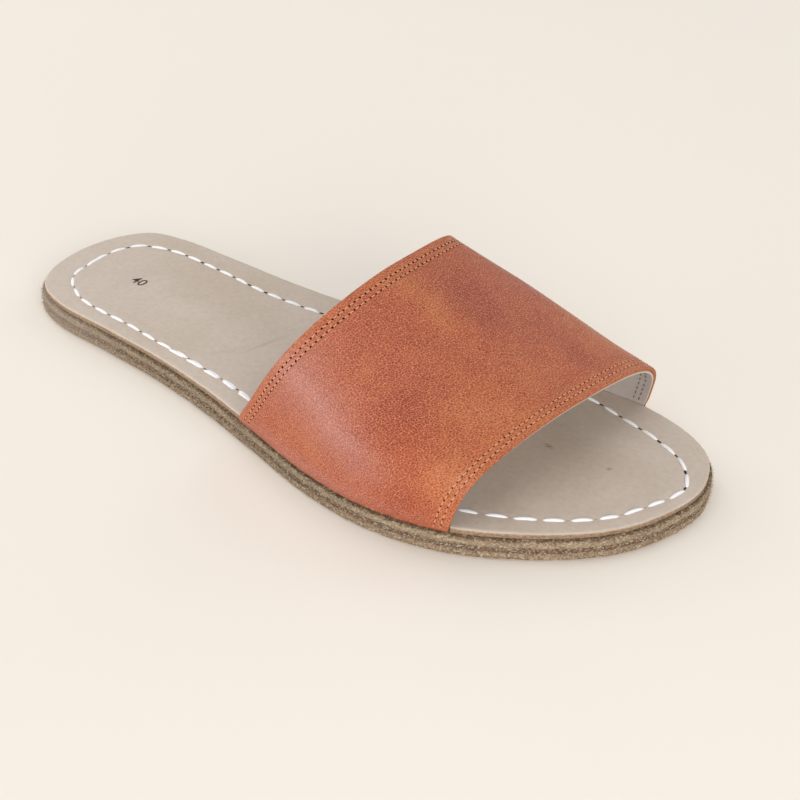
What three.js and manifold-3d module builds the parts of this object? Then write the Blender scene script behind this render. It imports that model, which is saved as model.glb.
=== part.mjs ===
// Slide sandal, right foot: outsole, midsole and footbed in flat layers, and one wide leather strap.
// Millimetres, +Z up, +Y towards the toe, +X to the lateral side, origin on the floor under the middle.
import * as THREE from "three";
import { mergeVertices } from "three/addons/utils/BufferGeometryUtils.js";
import Module from "manifold-3d";

const wasm = await Module();
wasm.setup();

// Driving sizes of the last
const SHOE_LENGTH = 270;
const SOLE_WIDTH = 106;
const INSTEP_HEIGHT = 63;
const BALL_HEIGHT = 35;

// Layers of the sole
const OUTSOLE_THICKNESS = 4.6;
const MIDSOLE_THICKNESS = 2.4;
const FOOTBED_THICKNESS = 2.4;
const GLUE_LINE = 0.2;
const MIDSOLE_INSET = 0.2;
const FOOTBED_INSET = 1.5;
const OUTSOLE_ROUNDING = 0.9;
const MIDSOLE_ROUNDING = 0.5;
const FOOTBED_ROUNDING = 0.6;

// Strap
const STRAP_WALL = 2.6;
const STRAP_PROUD = 0.5;
const TUCK_LENGTH = 13;
const TUCK_THICKNESS = 1;
const TUCK_BEND = 1.6;
const STRAP_CLEARANCE = 0.3;
const NOTCH_CORNER = 0.2;

// How finely the curves are divided
const OUTLINE_STEPS = 128;
const STRAP_ROWS = 14;
const ARCH_STEPS = 44;
const TUCK_STEPS = 3;
const BEND_STEPS = 3;

// Heights of the layers above the floor
const MIDSOLE_BOTTOM = OUTSOLE_THICKNESS + GLUE_LINE;
const MIDSOLE_TOP = MIDSOLE_BOTTOM + MIDSOLE_THICKNESS;
const FOOTBED_BOTTOM = MIDSOLE_TOP + GLUE_LINE;
const STRAP_INSET = FOOTBED_INSET - STRAP_PROUD;
const STRAP_FOOT = FOOTBED_BOTTOM + TUCK_BEND;

// Sole outline: along in shares of SHOE_LENGTH from the heel, medial and lateral in shares of SOLE_WIDTH
const HEEL_POINT = { along: 0, across: -0.034 };
const TOE_POINT = { along: 1, across: -0.19 };
const OUTLINE = [
  { along: 0.015, medial: -0.222, lateral: 0.152 },
  { along: 0.045, medial: -0.324, lateral: 0.246 },
  { along: 0.1, medial: -0.365, lateral: 0.298 },
  { along: 0.2, medial: -0.375, lateral: 0.312 },
  { along: 0.3, medial: -0.378, lateral: 0.328 },
  { along: 0.4, medial: -0.395, lateral: 0.364 },
  { along: 0.5, medial: -0.437, lateral: 0.421 },
  { along: 0.61, medial: -0.482, lateral: 0.485 },
  { along: 0.7, medial: -0.491, lateral: 0.498 },
  { along: 0.79, medial: -0.492, lateral: 0.449 },
  { along: 0.87, medial: -0.496, lateral: 0.335 },
  { along: 0.944, medial: -0.438, lateral: 0.168 },
  { along: 0.981, medial: -0.355, lateral: 0.01 },
];

// Side of each layer, from its underside up: height in shares of its thickness, inset in shares of its rounding
const OUTSOLE_SIDE = [
  { height: 0, inset: 1 },
  { height: 0.09, inset: 0.35 },
  { height: 0.24, inset: 0 },
  { height: 0.42, inset: 0.15 },
  { height: 0.52, inset: 0.6 },
  { height: 0.62, inset: 0.15 },
  { height: 0.86, inset: 0 },
  { height: 1, inset: 0.45 },
];
const LAYER_SIDE = [
  { height: 0, inset: 0.6 },
  { height: 0.2, inset: 0 },
  { height: 0.75, inset: 0 },
  { height: 1, inset: 1 },
];

// The strap's two edges: lateral and medial feet and the sweep of the crown towards the toe in shares of
// SHOE_LENGTH, lean as sideways shift for each millimetre of height, and the powers that round the arch.
const STRAP_EDGES = {
  rear: {
    lateral: 0.477,
    medial: 0.488,
    sweep: 0.115,
    height: INSTEP_HEIGHT,
    lean: 0.11,
    lateralPower: 1.36,
    medialPower: 0.32,
    crownPower: 0.5,
  },
  front: {
    lateral: 0.801,
    medial: 0.857,
    sweep: 0.016,
    height: BALL_HEIGHT,
    lean: -0.04,
    lateralPower: 1.1,
    medialPower: 0.55,
    crownPower: 0.57,
  },
};

const LATERAL = 1;
const MEDIAL = -1;

function mix(a, b, share) {
  return a + (b - a) * share;
}

function outlinePoint(along, across) {
  return new THREE.Vector3(across * SOLE_WIDTH, (along - 0.5) * SHOE_LENGTH, 0);
}

// The sole's outline, counter-clockwise from the heel, as one closed curve.
function outlineCurve() {
  const points = [outlinePoint(HEEL_POINT.along, HEEL_POINT.across)];
  for (const row of OUTLINE) points.push(outlinePoint(row.along, row.lateral));
  points.push(outlinePoint(TOE_POINT.along, TOE_POINT.across));
  for (const row of [...OUTLINE].reverse()) points.push(outlinePoint(row.along, row.medial));
  return new THREE.CatmullRomCurve3(points, true, "centripetal");
}

const OUTLINE_CURVE = outlineCurve();
const EDGE_POINTS = OUTLINE_CURVE.getSpacedPoints(OUTLINE_STEPS).slice(0, OUTLINE_STEPS);

// The outline moved in by an inset, each point with the direction that points into the sole.
function insetOutline(inset) {
  return EDGE_POINTS.map((point, i) => {
    const before = EDGE_POINTS[(i + OUTLINE_STEPS - 1) % OUTLINE_STEPS];
    const after = EDGE_POINTS[(i + 1) % OUTLINE_STEPS];
    const along = after.clone().sub(before).normalize();
    const inward = new THREE.Vector3(-along.y, along.x, 0);
    return { point: point.clone().addScaledVector(inward, inset), inward };
  });
}

// Where an inset outline crosses a given y on one side, and which way is into the sole there.
function sideAt(outline, y, side) {
  for (let i = 0; i < outline.length; i += 1) {
    const a = outline[i];
    const b = outline[(i + 1) % outline.length];
    const rises = b.point.y > a.point.y ? LATERAL : MEDIAL;
    const crosses = (a.point.y - y) * (b.point.y - y) <= 0 && a.point.y !== b.point.y;
    if (rises !== side || !crosses) continue;
    const share = (y - a.point.y) / (b.point.y - a.point.y);
    const point = a.point.clone().lerp(b.point, share);
    const inward = a.inward.clone().lerp(b.inward, share).normalize();
    return { point, inward };
  }
  throw new Error("the strap reaches past the end of the sole");
}

function geometryOf(vertices, triangles) {
  const geometry = new THREE.BufferGeometry();
  const positions = vertices.flatMap((vertex) => [vertex.x, vertex.y, vertex.z]);
  geometry.setAttribute("position", new THREE.Float32BufferAttribute(positions, 3));
  geometry.setIndex(triangles);
  return geometry;
}

// A layer of the sole: rings of the outline, one for each row of its side, closed above and below.
function layerGeometry(bottom, thickness, inset, rounding, side) {
  const vertices = [];
  const triangles = [];
  for (const row of side) {
    for (const { point } of insetOutline(inset + row.inset * rounding)) {
      vertices.push(new THREE.Vector3(point.x, point.y, bottom + row.height * thickness));
    }
  }
  for (let ring = 0; ring + 1 < side.length; ring += 1) {
    for (let i = 0; i < OUTLINE_STEPS; i += 1) {
      const a = ring * OUTLINE_STEPS + i;
      const b = ring * OUTLINE_STEPS + ((i + 1) % OUTLINE_STEPS);
      triangles.push(a, b, b + OUTLINE_STEPS);
      triangles.push(a, b + OUTLINE_STEPS, a + OUTLINE_STEPS);
    }
  }
  const top = (side.length - 1) * OUTLINE_STEPS;
  const face = EDGE_POINTS.map((point) => new THREE.Vector2(point.x, point.y));
  for (const [a, b, c] of THREE.ShapeUtils.triangulateShape(face, [])) {
    triangles.push(a, c, b);
    triangles.push(top + a, top + b, top + c);
  }
  return geometryOf(vertices, triangles);
}

// One row of the strap's outer face: tuck, bend, arch, bend and tuck, from the lateral to the medial side.
function strapRow(share, outline, grow) {
  const rear = STRAP_EDGES.rear;
  const front = STRAP_EDGES.front;
  const value = (name) => mix(rear[name], front[name], share);
  const overhang = grow * (2 * share - 1);
  const lateralY = (value("lateral") - 0.5) * SHOE_LENGTH + overhang;
  const medialY = (value("medial") - 0.5) * SHOE_LENGTH + overhang;
  const feet = {
    [LATERAL]: sideAt(outline, lateralY, LATERAL),
    [MEDIAL]: sideAt(outline, medialY, MEDIAL),
  };
  const rise = value("height") - STRAP_FOOT;
  const middle = feet[LATERAL].point.clone().add(feet[MEDIAL].point).multiplyScalar(0.5);
  const half = feet[LATERAL].point.clone().sub(feet[MEDIAL].point).multiplyScalar(0.5);
  const arch = [];
  const FINE_STEPS = 4 * ARCH_STEPS;
  for (let i = 0; i <= FINE_STEPS; i += 1) {
    const angle = (Math.PI * i) / FINE_STEPS;
    const cosine = Math.cos(angle);
    const power = cosine > 0 ? value("lateralPower") : value("medialPower");
    const across = Math.sign(cosine) * Math.abs(cosine) ** power;
    const up = Math.max(Math.sin(angle), 0) ** value("crownPower");
    const point = middle.clone().addScaledVector(half, across);
    point.x += value("lean") * rise * up;
    point.y += value("sweep") * SHOE_LENGTH * up;
    point.z = STRAP_FOOT + rise * up;
    arch.push(point);
  }
  return { feet, arch: new THREE.CatmullRomCurve3(arch).getSpacedPoints(ARCH_STEPS) };
}

// Outer and inner faces of the tuck and its bend at one foot, from its far end to the start of the arch.
function tuckPoints(foot, grow, corner) {
  const at = (inwards, height) => {
    const point = foot.point.clone().addScaledVector(foot.inward, inwards);
    point.z = height;
    return point;
  };
  const outer = [];
  const inner = [];
  const innerBend = TUCK_BEND - TUCK_THICKNESS;
  const under = FOOTBED_BOTTOM - grow;
  const over = FOOTBED_BOTTOM + TUCK_THICKNESS + grow;
  for (let i = 0; i < TUCK_STEPS; i += 1) {
    const share = i / TUCK_STEPS;
    outer.push(at(mix(TUCK_LENGTH + grow, corner, share), under));
    inner.push(at(mix(TUCK_LENGTH + grow, STRAP_WALL + innerBend + grow, share), over));
  }
  for (let i = 0; i < BEND_STEPS; i += 1) {
    const angle = (Math.PI / 2) * (i / BEND_STEPS);
    const short = 1 - Math.sin(angle);
    const lift = 1 - Math.cos(angle);
    outer.push(at(mix(-grow, corner, short), mix(under, under + corner + grow, lift)));
    inner.push(at(STRAP_WALL + grow + innerBend * short, mix(over, STRAP_FOOT, lift)));
  }
  return { outer, inner };
}

// The strap as one bent sheet: outer face, inner face and the four cut edges between them.
function strapGeometry(grow, corner) {
  const outline = insetOutline(STRAP_INSET);
  const rows = [];
  for (let i = 0; i <= STRAP_ROWS; i += 1) rows.push(strapRow(i / STRAP_ROWS, outline, grow));
  const normalAt = (row, column) => {
    const arch = rows[row].arch;
    const across = arch[Math.min(column + 1, ARCH_STEPS)].clone();
    across.sub(arch[Math.max(column - 1, 0)]);
    const along = rows[Math.min(row + 1, STRAP_ROWS)].arch[column].clone();
    along.sub(rows[Math.max(row - 1, 0)].arch[column]);
    const foot = column === 0 ? rows[row].feet[LATERAL] : rows[row].feet[MEDIAL];
    if (column === 0 || column === ARCH_STEPS) return foot.inward.clone();
    return across.cross(along).normalize();
  };
  const outerRows = [];
  const innerRows = [];
  rows.forEach(({ feet, arch }, row) => {
    const lateral = tuckPoints(feet[LATERAL], grow, corner);
    const medial = tuckPoints(feet[MEDIAL], grow, corner);
    const normals = arch.map((_, column) => normalAt(row, column));
    const outer = arch.map((point, i) => point.clone().addScaledVector(normals[i], -grow));
    const inner = arch.map((point, i) => point.clone().addScaledVector(normals[i], STRAP_WALL + grow));
    outerRows.push([...lateral.outer, ...outer, ...medial.outer.reverse()]);
    innerRows.push([...lateral.inner, ...inner, ...medial.inner.reverse()]);
  });
  return sheetGeometry(outerRows, innerRows);
}

// Two grids of points, one behind the other, closed along their four sides.
function sheetGeometry(outerRows, innerRows) {
  const rows = outerRows.length;
  const columns = outerRows[0].length;
  const vertices = [...outerRows.flat(), ...innerRows.flat()];
  const triangles = [];
  const outer = (row, column) => row * columns + column;
  const inner = (row, column) => rows * columns + outer(row, column);
  const quad = (a, b, c, d) => triangles.push(a, b, c, a, c, d);
  for (let row = 0; row + 1 < rows; row += 1) {
    for (let column = 0; column + 1 < columns; column += 1) {
      quad(outer(row, column), outer(row + 1, column), outer(row + 1, column + 1), outer(row, column + 1));
      quad(inner(row, column), inner(row, column + 1), inner(row + 1, column + 1), inner(row + 1, column));
    }
    quad(outer(row + 1, 0), outer(row, 0), inner(row, 0), inner(row + 1, 0));
    const last = columns - 1;
    quad(outer(row, last), outer(row + 1, last), inner(row + 1, last), inner(row, last));
  }
  const end = rows - 1;
  for (let column = 0; column + 1 < columns; column += 1) {
    quad(outer(0, column), outer(0, column + 1), inner(0, column + 1), inner(0, column));
    quad(outer(end, column + 1), outer(end, column), inner(end, column), inner(end, column + 1));
  }
  return geometryOf(vertices, triangles);
}

function solidOf(geometry) {
  const merged = mergeVertices(geometry);
  const vertProperties = merged.getAttribute("position").array;
  const triVerts = new Uint32Array(merged.getIndex().array);
  return new wasm.Manifold(new wasm.Mesh({ numProp: 3, vertProperties, triVerts }));
}

function geometryFromSolid(solid) {
  const mesh = solid.getMesh();
  const geometry = new THREE.BufferGeometry();
  geometry.setAttribute("position", new THREE.BufferAttribute(mesh.vertProperties, 3));
  geometry.setIndex(new THREE.BufferAttribute(mesh.triVerts, 1));
  return geometry;
}

// The footbed, notched at its edge and hollowed underneath where the strap's ends go.
function footbedGeometry() {
  const layer = layerGeometry(
    FOOTBED_BOTTOM,
    FOOTBED_THICKNESS,
    FOOTBED_INSET,
    FOOTBED_ROUNDING,
    LAYER_SIDE,
  );
  const room = solidOf(strapGeometry(STRAP_CLEARANCE, NOTCH_CORNER));
  return geometryFromSolid(solidOf(layer).subtract(room));
}

const sandal = new THREE.Group();

function addPiece(name, geometry, color, roughness) {
  geometry.computeVertexNormals();
  const material = new THREE.MeshStandardMaterial({ color, roughness, metalness: 0 });
  const mesh = new THREE.Mesh(geometry, material);
  mesh.name = name;
  sandal.add(mesh);
}

addPiece(
  "outsole",
  layerGeometry(0, OUTSOLE_THICKNESS, 0, OUTSOLE_ROUNDING, OUTSOLE_SIDE),
  "#7b6a58",
  0.95,
);
addPiece(
  "midsole",
  layerGeometry(MIDSOLE_BOTTOM, MIDSOLE_THICKNESS, MIDSOLE_INSET, MIDSOLE_ROUNDING, LAYER_SIDE),
  "#9c9079",
  0.95,
);
addPiece("footbed", footbedGeometry(), "#b8a896", 0.6);
addPiece("upper", strapGeometry(0, TUCK_BEND), "#b8603c", 0.5);

export default sandal;
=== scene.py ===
"""Slide sandal, right foot: raw-edged leather sole in three layers and one wide pull-up leather strap."""

import math

import bpy
import numpy as np
from bpy.props import FloatProperty, FloatVectorProperty, IntProperty, PointerProperty
from bpy.types import Operator, Panel, PropertyGroup
from mathutils import Matrix, Vector, kdtree, noise


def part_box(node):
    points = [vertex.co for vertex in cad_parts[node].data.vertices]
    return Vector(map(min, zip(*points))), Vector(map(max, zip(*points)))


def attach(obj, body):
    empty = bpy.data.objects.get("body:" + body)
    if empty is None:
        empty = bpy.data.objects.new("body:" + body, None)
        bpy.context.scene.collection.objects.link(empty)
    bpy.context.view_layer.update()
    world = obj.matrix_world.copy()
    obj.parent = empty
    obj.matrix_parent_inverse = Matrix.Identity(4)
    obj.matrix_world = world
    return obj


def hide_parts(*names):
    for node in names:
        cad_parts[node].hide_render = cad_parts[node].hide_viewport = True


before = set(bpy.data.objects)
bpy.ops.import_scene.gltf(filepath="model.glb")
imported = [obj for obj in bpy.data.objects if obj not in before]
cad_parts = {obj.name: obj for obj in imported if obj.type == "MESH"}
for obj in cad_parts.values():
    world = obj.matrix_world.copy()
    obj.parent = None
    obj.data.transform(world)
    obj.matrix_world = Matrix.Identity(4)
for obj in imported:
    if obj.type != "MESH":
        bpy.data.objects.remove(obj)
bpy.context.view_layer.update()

bl_info = {
    "name": "Slide sandal",
    "version": (1, 0, 0),
    "blender": (4, 5, 0),
    "location": "3D View > Sidebar > Sandal",
    "description": "Dresses the packed frame of a slide sandal in leather and thread",
    "category": "Object",
}

MM = 0.001
LATERAL = 1
MEDIAL = -1
SIDE_NAMES = {LATERAL: "lateral", MEDIAL: "medial"}
ROOT = "root"

# Heights that the frame gives, in millimetres
OUTSOLE_LOW, OUTSOLE_HIGH = (corner[2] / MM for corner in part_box("outsole"))
MIDSOLE_LOW, MIDSOLE_HIGH = (corner[2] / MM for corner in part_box("midsole"))
FOOTBED_LOW, FOOTBED_HIGH = (corner[2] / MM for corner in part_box("footbed"))

SHOE_LENGTH = 270.0
SOLE_WIDTH = 106.0

# How far the footbed stands in from the sole's outline, and how much its edge is rounded
FOOTBED_INSET = 1.5
FOOTBED_ROUNDING = 0.6

# The bar that cuts the footbed's notches: its outer side from the strap's foot, its underside and its top
NOTCH_BAR = (-3.0, 6.0, 12.0)

# How uneven the torn edge of the sole and the smoother edge of the footbed are, how closely the steps lie
# across and up, and the roughness, scale and number of their octaves
UNEVEN_ACROSS = 0.45
UNEVEN_UP = 1.3
UNEVEN_OCTAVES = (0.7, 2.0, 3)
SOLE_UNEVEN = 0.28
FOOTBED_UNEVEN = 0.12
FOOTBED_SEED = 9

# The depths between which the footbed's edge turns raw, and the angle in degrees from which an edge is sharp
RAW_EDGE_DEPTH = (0.65, 0.3)
SHARP_EDGE = 50

# The strap's leather and lining, and how its ends are tucked under the footbed
STRAP_INSET = {LATERAL: 0.6, MEDIAL: -0.7}
STRAP_WALL = 2.6
LEATHER_WALL = 1.5
LINING_START = 1.53
LINING_SET_BACK = 0.1
TUCK_LENGTH = 13.0
TUCK_THICKNESS = 1.0
TUCK_BEND = 1.6
STRAP_CLEARANCE = 0.3
STRAP_FOOT = FOOTBED_LOW + TUCK_BEND


def named_rows(names, *rows):
    """A table's rows as dictionaries, with its columns named in one line."""
    return [dict(zip(names.split(), row, strict=True)) for row in rows]


# Sole outline: along in shares of the length from the heel, sides in shares of the width
HEEL_POINT = (0.0, -0.034)
TOE_POINT = (1.0, -0.19)
OUTLINE = (
    (0.015, -0.222, 0.152),
    (0.045, -0.324, 0.246),
    (0.1, -0.365, 0.298),
    (0.2, -0.375, 0.312),
    (0.3, -0.378, 0.328),
    (0.4, -0.395, 0.364),
    (0.5, -0.437, 0.421),
    (0.61, -0.482, 0.485),
    (0.7, -0.491, 0.498),
    (0.79, -0.492, 0.449),
    (0.87, -0.496, 0.335),
    (0.944, -0.438, 0.168),
    (0.981, -0.355, 0.01),
)

# Side of each layer from its underside up: height in shares of its thickness, inset in shares of its rounding
OUTSOLE_SIDE = (
    (0.0, 1.0), (0.04, 0.6), (0.1, 0.3), (0.17, 0.1), (0.25, 0.0),
    (0.34, 0.02), (0.42, 0.15), (0.48, 0.45), (0.52, 0.62), (0.56, 0.45),
    (0.62, 0.2), (0.72, 0.12), (0.84, 0.12), (0.94, 0.15), (1.0, 0.22),
)
MIDSOLE_SIDE = (
    (0.0, 0.1), (0.15, 0.0), (0.35, 0.0), (0.55, 0.0), (0.74, 0.05),
    (0.86, 0.25), (0.95, 0.6), (1.0, 1.0),
)
LAYER_SIDE = (
    (0.0, 0.6), (0.08, 0.25), (0.2, 0.0), (0.4, 0.0), (0.6, 0.0),
    (0.78, 0.05), (0.88, 0.25), (0.96, 0.6), (1.0, 1.0),
)

# The strap's rear and front edges: where the feet stand and how far the crown leans forward, in shares of the
# sole's length, the crown's height, its lean to the side, and how square the arch is at each side and on top.
# The front edge is a little fuller at its medial side than the CAD's
REAR_EDGE = {
    "lateral": 0.477,
    "medial": 0.488,
    "sweep": 0.115,
    "height": 63.0,
    "lean": 0.11,
    "lateral_power": 1.36,
    "medial_power": 0.32,
    "crown_power": 0.5,
}
FRONT_EDGE = {
    "lateral": 0.801,
    "medial": 0.859,
    "sweep": 0.019,
    "height": 35.0,
    "lean": -0.04,
    "lateral_power": 1.1,
    "medial_power": 0.71,
    "crown_power": 0.57,
}

# The sewn seam on the footbed, as places across and along the sandal in millimetres
SEAM_LINE = (
    (0.0, -121.9), (12.2, -119.4), (18.8, -112.0), (22.8, -103.0), (24.1, -92.0), (24.6, -76.0),
    (26.2, -60.0), (27.0, -46.0), (28.2, -36.0), (30.2, -20.0), (36.0, 5.0), (41.5, 30.0),
    (42.3, 52.0), (39.6, 70.0), (34.8, 82.1), (30.5, 91.0), (25.6, 99.3), (20.6, 106.2),
    (15.2, 112.4), (9.0, 117.7), (2.0, 121.7), (-5.0, 125.0), (-11.5, 127.5), (-16.4, 128.9),
    (-20.6, 128.2), (-24.6, 126.0), (-30.6, 120.8), (-34.4, 113.3), (-36.9, 106.5), (-38.6, 99.5),
    (-40.8, 90.5), (-42.6, 82.0), (-42.8, 65.0), (-41.6, 50.0), (-39.6, 30.0), (-33.8, 5.0),
    (-29.4, -15.0), (-27.4, -28.0), (-26.1, -42.0), (-25.7, -54.0), (-26.2, -64.0), (-27.1, -76.0),
    (-27.4, -88.0), (-27.6, -98.0), (-26.2, -107.0), (-21.6, -117.2), (-12.0, -121.8),
)

# How finely the pieces are divided
HALF_STEPS = 384
SOLE_RUNGS = 4
FOOTBED_RUNGS = 104
TABLE_ROWS = 241
ARCH_STEPS = 220
FINE_STEPS = 1200
FOOT_COLUMNS = 4
TUCK_STEPS = 8
BEND_STEPS = 8
MIDDLE_ROWS = 74
CURVE_STEPS = 60
NOTCH_STEPS = 60
SEAM_STEPS = 1500

# Rounding of a cut leather edge: distance from the edge and depth below the face, in millimetres
CUT_EDGE = ((0.0, 0.5), (0.06, 0.24), (0.2, 0.08), (0.45, 0.0))

# Rows of the strap's mesh beside each edge, finer where the stitch grooves run
REAR_ROWS = (0.9, 1.6, 2.2, 2.6, 2.9, 3.2, 3.5, 3.8, 4.3, 4.8, 5.1, 5.4, 5.7, 6.0, 6.5, 7.2, 8.0, 9.0)
FRONT_ROWS = (0.8, 1.3, 1.8, 2.1, 2.4, 2.7, 3.0, 3.3, 3.8, 4.2, 4.5, 4.8, 5.1, 5.4, 5.9, 6.6, 7.6, 8.8)
REAR_STITCHES = (3.2, 5.4)
FRONT_STITCHES = (2.7, 4.8)
GROOVE_DEPTH = 0.2
GROOVE_WIDTH = 0.6
FIRST_STITCH = 0.8
PIERCED_FRONT = 0.72

# A strap stitch's length in pitches, a hole's width in lengths, and how far the inside thread stands off
STITCH_SHARE = 0.62
HOLE_SHARE = 0.9
INSIDE_THREAD = 0.02

# How deep the seam's line lies, and the trim of its pitch that keeps rounding from losing the last stitch
SEAM_SUNK = 0.1
PITCH_TRIM = 0.99999

# The seam's groove in the footbed and the lip beside it: depth, distance and width
SEAM_GROOVE = (0.14, 0.0, 1.3)
SEAM_LIP = (-0.04, 2.8, 1.2)

# The seam is sewn twice at the waist: the second run's shift, and where it starts and ends along the sandal
SECOND_RUN = (0.7, 0.0, 0.1)
SECOND_RUN_ALONG = (-50, -12)

# Fibres stand only on the side above this height, so that none reaches under the floor
FIBRE_FLOOR = 1.0

# The printed size number: lift above the leather, height of its digits, thickness, weight and place
NUMBER_LIFT = 0.02
NUMBER_HEIGHT = 6.6
NUMBER_THICKNESS = 0.03
NUMBER_WEIGHT = 0.05
NUMBER_PLACE = (-0.3, -96.6)

# Bands of the cut edges from below: height in millimetres, dark and light colour
OUTSOLE_BANDS = (
    (0.0, "#79624c", "#c3a585"),
    (0.8, "#7a614c", "#c1a282"),
    (1.6, "#806750", "#c6a788"),
    (2.3, "#8f775e", "#d4b99b"),
    (2.8, "#674f3d", "#ab8970"),
    (3.4, "#563f31", "#96745f"),
    (4.3, "#584333", "#9d7c66"),
    (4.6, "#715d49", "#b59a7c"),
)
MIDSOLE_BANDS = (
    (4.6, "#74604c", "#baa081"),
    (5.3, "#8b765f", "#ceb798"),
    (6.2, "#8f7a63", "#d2bb9d"),
    (6.8, "#79644f", "#bca182"),
    (7.2, "#5e4c3a", "#9e8368"),
)

# The two layers with a torn edge: heights, inset and rounding in millimetres, the shape of the side, how far
# the underside hangs into the gap below, the bands of colour, and how strong the pale flecks are
TORN_LAYERS = named_rows(
    "name low high inset rounding side hang bands flecks",
    ("outsole", OUTSOLE_LOW, OUTSOLE_HIGH, 0.0, 0.9, OUTSOLE_SIDE, 0.0, OUTSOLE_BANDS, 0.7),
    ("midsole", MIDSOLE_LOW, MIDSOLE_HIGH, 0.2, 0.45, MIDSOLE_SIDE, 0.14, MIDSOLE_BANDS, 0.45),
)

# Soft troughs and ridges of the strap: around in shares from the lateral to the medial foot, along
# from the rear edge, length, width and height in millimetres, turn in degrees
FOLDS = named_rows(
    "around along turn length width height",
    (0.17, 40.0, 12.0, 46.0, 9.0, -0.5),
    (0.3, 62.0, -8.0, 30.0, 8.0, 0.35),
    (0.42, 30.0, 20.0, 28.0, 7.0, -0.3),
    (0.1, 66.0, 4.0, 26.0, 6.0, -0.35),
    (0.56, 58.0, -15.0, 34.0, 8.0, -0.3),
    (0.24, 18.0, 30.0, 20.0, 6.0, 0.3),
    (0.66, 34.0, 0.0, 60.0, 20.0, -1.3),
)

# How far the leather rolls out just above the sole, where the roll is full, where it ends and how it fades
FOOT_ROLL = 0.7
ROLL_FULL = 2.5
ROLL_END = 3
ROLL_FADE = 5

# Distances between which folds and grooves set in above the foot, and the rim and a cut edge show
FOLDS_FROM_FOOT = (2, 12)
GROOVE_FROM_FOOT = (0, 3)
RIM_FROM_EDGE = (2.0, 9.0)
CUT_SHOWS = (0.1, 0.4)

# Dye patches of the strap: place and reach in shares, brick above 0 and ochre below. The last, wide
# pale patch at the medial side is painted light
PATCHES = named_rows(
    "along around reach_along reach_around brick",
    (0.35, 0.55, 0.22, 0.06, 1.0),
    (0.26, 0.45, 0.22, 0.035, -0.8),
    (0.18, 0.37, 0.16, 0.06, 0.45),
    (0.53, 0.24, 0.13, 0.09, 0.8),
    (0.72, 0.31, 0.07, 0.05, -0.6),
    (0.78, 0.48, 0.14, 0.08, -0.65),
    (0.88, 0.34, 0.1, 0.08, -0.8),
    (0.9, 0.14, 0.08, 0.07, -1.0),
    (0.8, 0.64, 0.09, 0.035, 0.9),
    (0.62, 0.65, 0.12, 0.04, 0.4),
    (0.8, 0.04, 0.1, 0.05, 0.7),
    (0.33, 0.07, 0.18, 0.04, -0.3),
    (0.66, 0.17, 0.07, 0.05, 0.4),
    (0.45, 0.36, 0.2, 0.03, -0.25),
    (0.3, 0.8, 0.2, 0.08, 0.5),
    # Painted light: a wide pale patch that lightens the medial side
    (0.72, 0.83, 0.24, 0.12, -1.1),
)

# Painted sheen on the strap: pink, paler patches where a highlight falls as it bends at its lateral side,
# along its bottom edge and on the medial side of its crown
PAINTED_SHEEN_PATCHES = named_rows(
    "along around reach_along reach_around bloom",
    (0.1, 0.2, 0.12, 0.08, 0.6),
    (0.3, 0.17, 0.14, 0.06, 0.6),
    (0.48, 0.12, 0.12, 0.05, 0.6),
    (0.63, 0.085, 0.1, 0.04, 0.45),
    (0.45, 0.015, 0.4, 0.022, 0.5),
    (0.3, 0.72, 0.16, 0.05, 0.2),
)

# Marks of wear on the footbed, and one broad painted shade in front of the strap: place, half length, half
# width and depth in millimetres, turn in degrees, and how dark they are
FOOTBED_MARKS_AND_SHADE = named_rows(
    "across along turn length width dark sunk",
    (2.0, -29.0, 166.0, 9.0, 0.7, 0.22, 0.06),
    (14.0, -36.0, 150.0, 8.0, 1.6, 0.1, 0.06),
    (-9.7, 83.4, 70.0, 1.4, 0.4, 1.0, 0.08),
    (-11.4, 105.1, 40.0, 0.6, 0.5, 1.0, 0.05),
    (23.5, 82.0, 10.0, 2.6, 1.6, 0.07, 0.0),
    (16.9, 83.6, 60.0, 2.0, 1.4, 0.07, 0.0),
    # Painted shade: a broad, faint brown darkening just in front of the strap's front edge
    (0.0, 84.0, 172.0, 52.0, 14.0, 0.06, 0.0),
    (6.0, 106.0, 20.0, 16.0, 5.0, 0.05, 0.0),
    (-8.0, -72.0, 75.0, 14.0, 5.0, 0.06, 0.0),
)


def linear(hex_colour):
    """The linear colour of an sRGB hex value."""
    channels = [int(hex_colour[i : i + 2], 16) / 255 for i in (1, 3, 5)]
    return tuple(c / 12.92 if c <= 0.04045 else ((c + 0.055) / 1.055) ** 2.4 for c in channels)


def mix(a, b, share):
    return a + (b - a) * share


def smooth(low, high, value):
    """Rises from 0 at low to 1 at high, with soft ends."""
    share = np.clip((value - low) / (high - low), 0, 1)
    return share * share * (3 - 2 * share)


def curve_segment(p0, p1, p2, p3, steps):
    """Points from p1 up to p2 on a centripetal Catmull-Rom curve."""
    gaps = [max(np.linalg.norm(b - a) ** 0.5, 1e-4) for a, b in ((p0, p1), (p1, p2), (p2, p3))]
    start = (p1 - p0) / gaps[0] - (p2 - p0) / (gaps[0] + gaps[1]) + (p2 - p1) / gaps[1]
    end = (p2 - p1) / gaps[1] - (p3 - p1) / (gaps[1] + gaps[2]) + (p3 - p2) / gaps[2]
    start, end = start * gaps[1], end * gaps[1]
    t = np.linspace(0, 1, steps, endpoint=False)[:, None]
    return p1 + start * t + (3 * (p2 - p1) - 2 * start - end) * t**2 + (2 * (p1 - p2) + start + end) * t**3


def closed_curve(ring):
    """The segments of a smooth closed curve through a ring of points."""
    count = len(ring)
    after = [(ring[i - 1], ring[i], ring[(i + 1) % count], ring[(i + 2) % count]) for i in range(count)]
    return [curve_segment(*four, CURVE_STEPS) for four in after]


def line_length(points):
    return np.linalg.norm(np.diff(points, axis=0), axis=1).sum()


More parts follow.
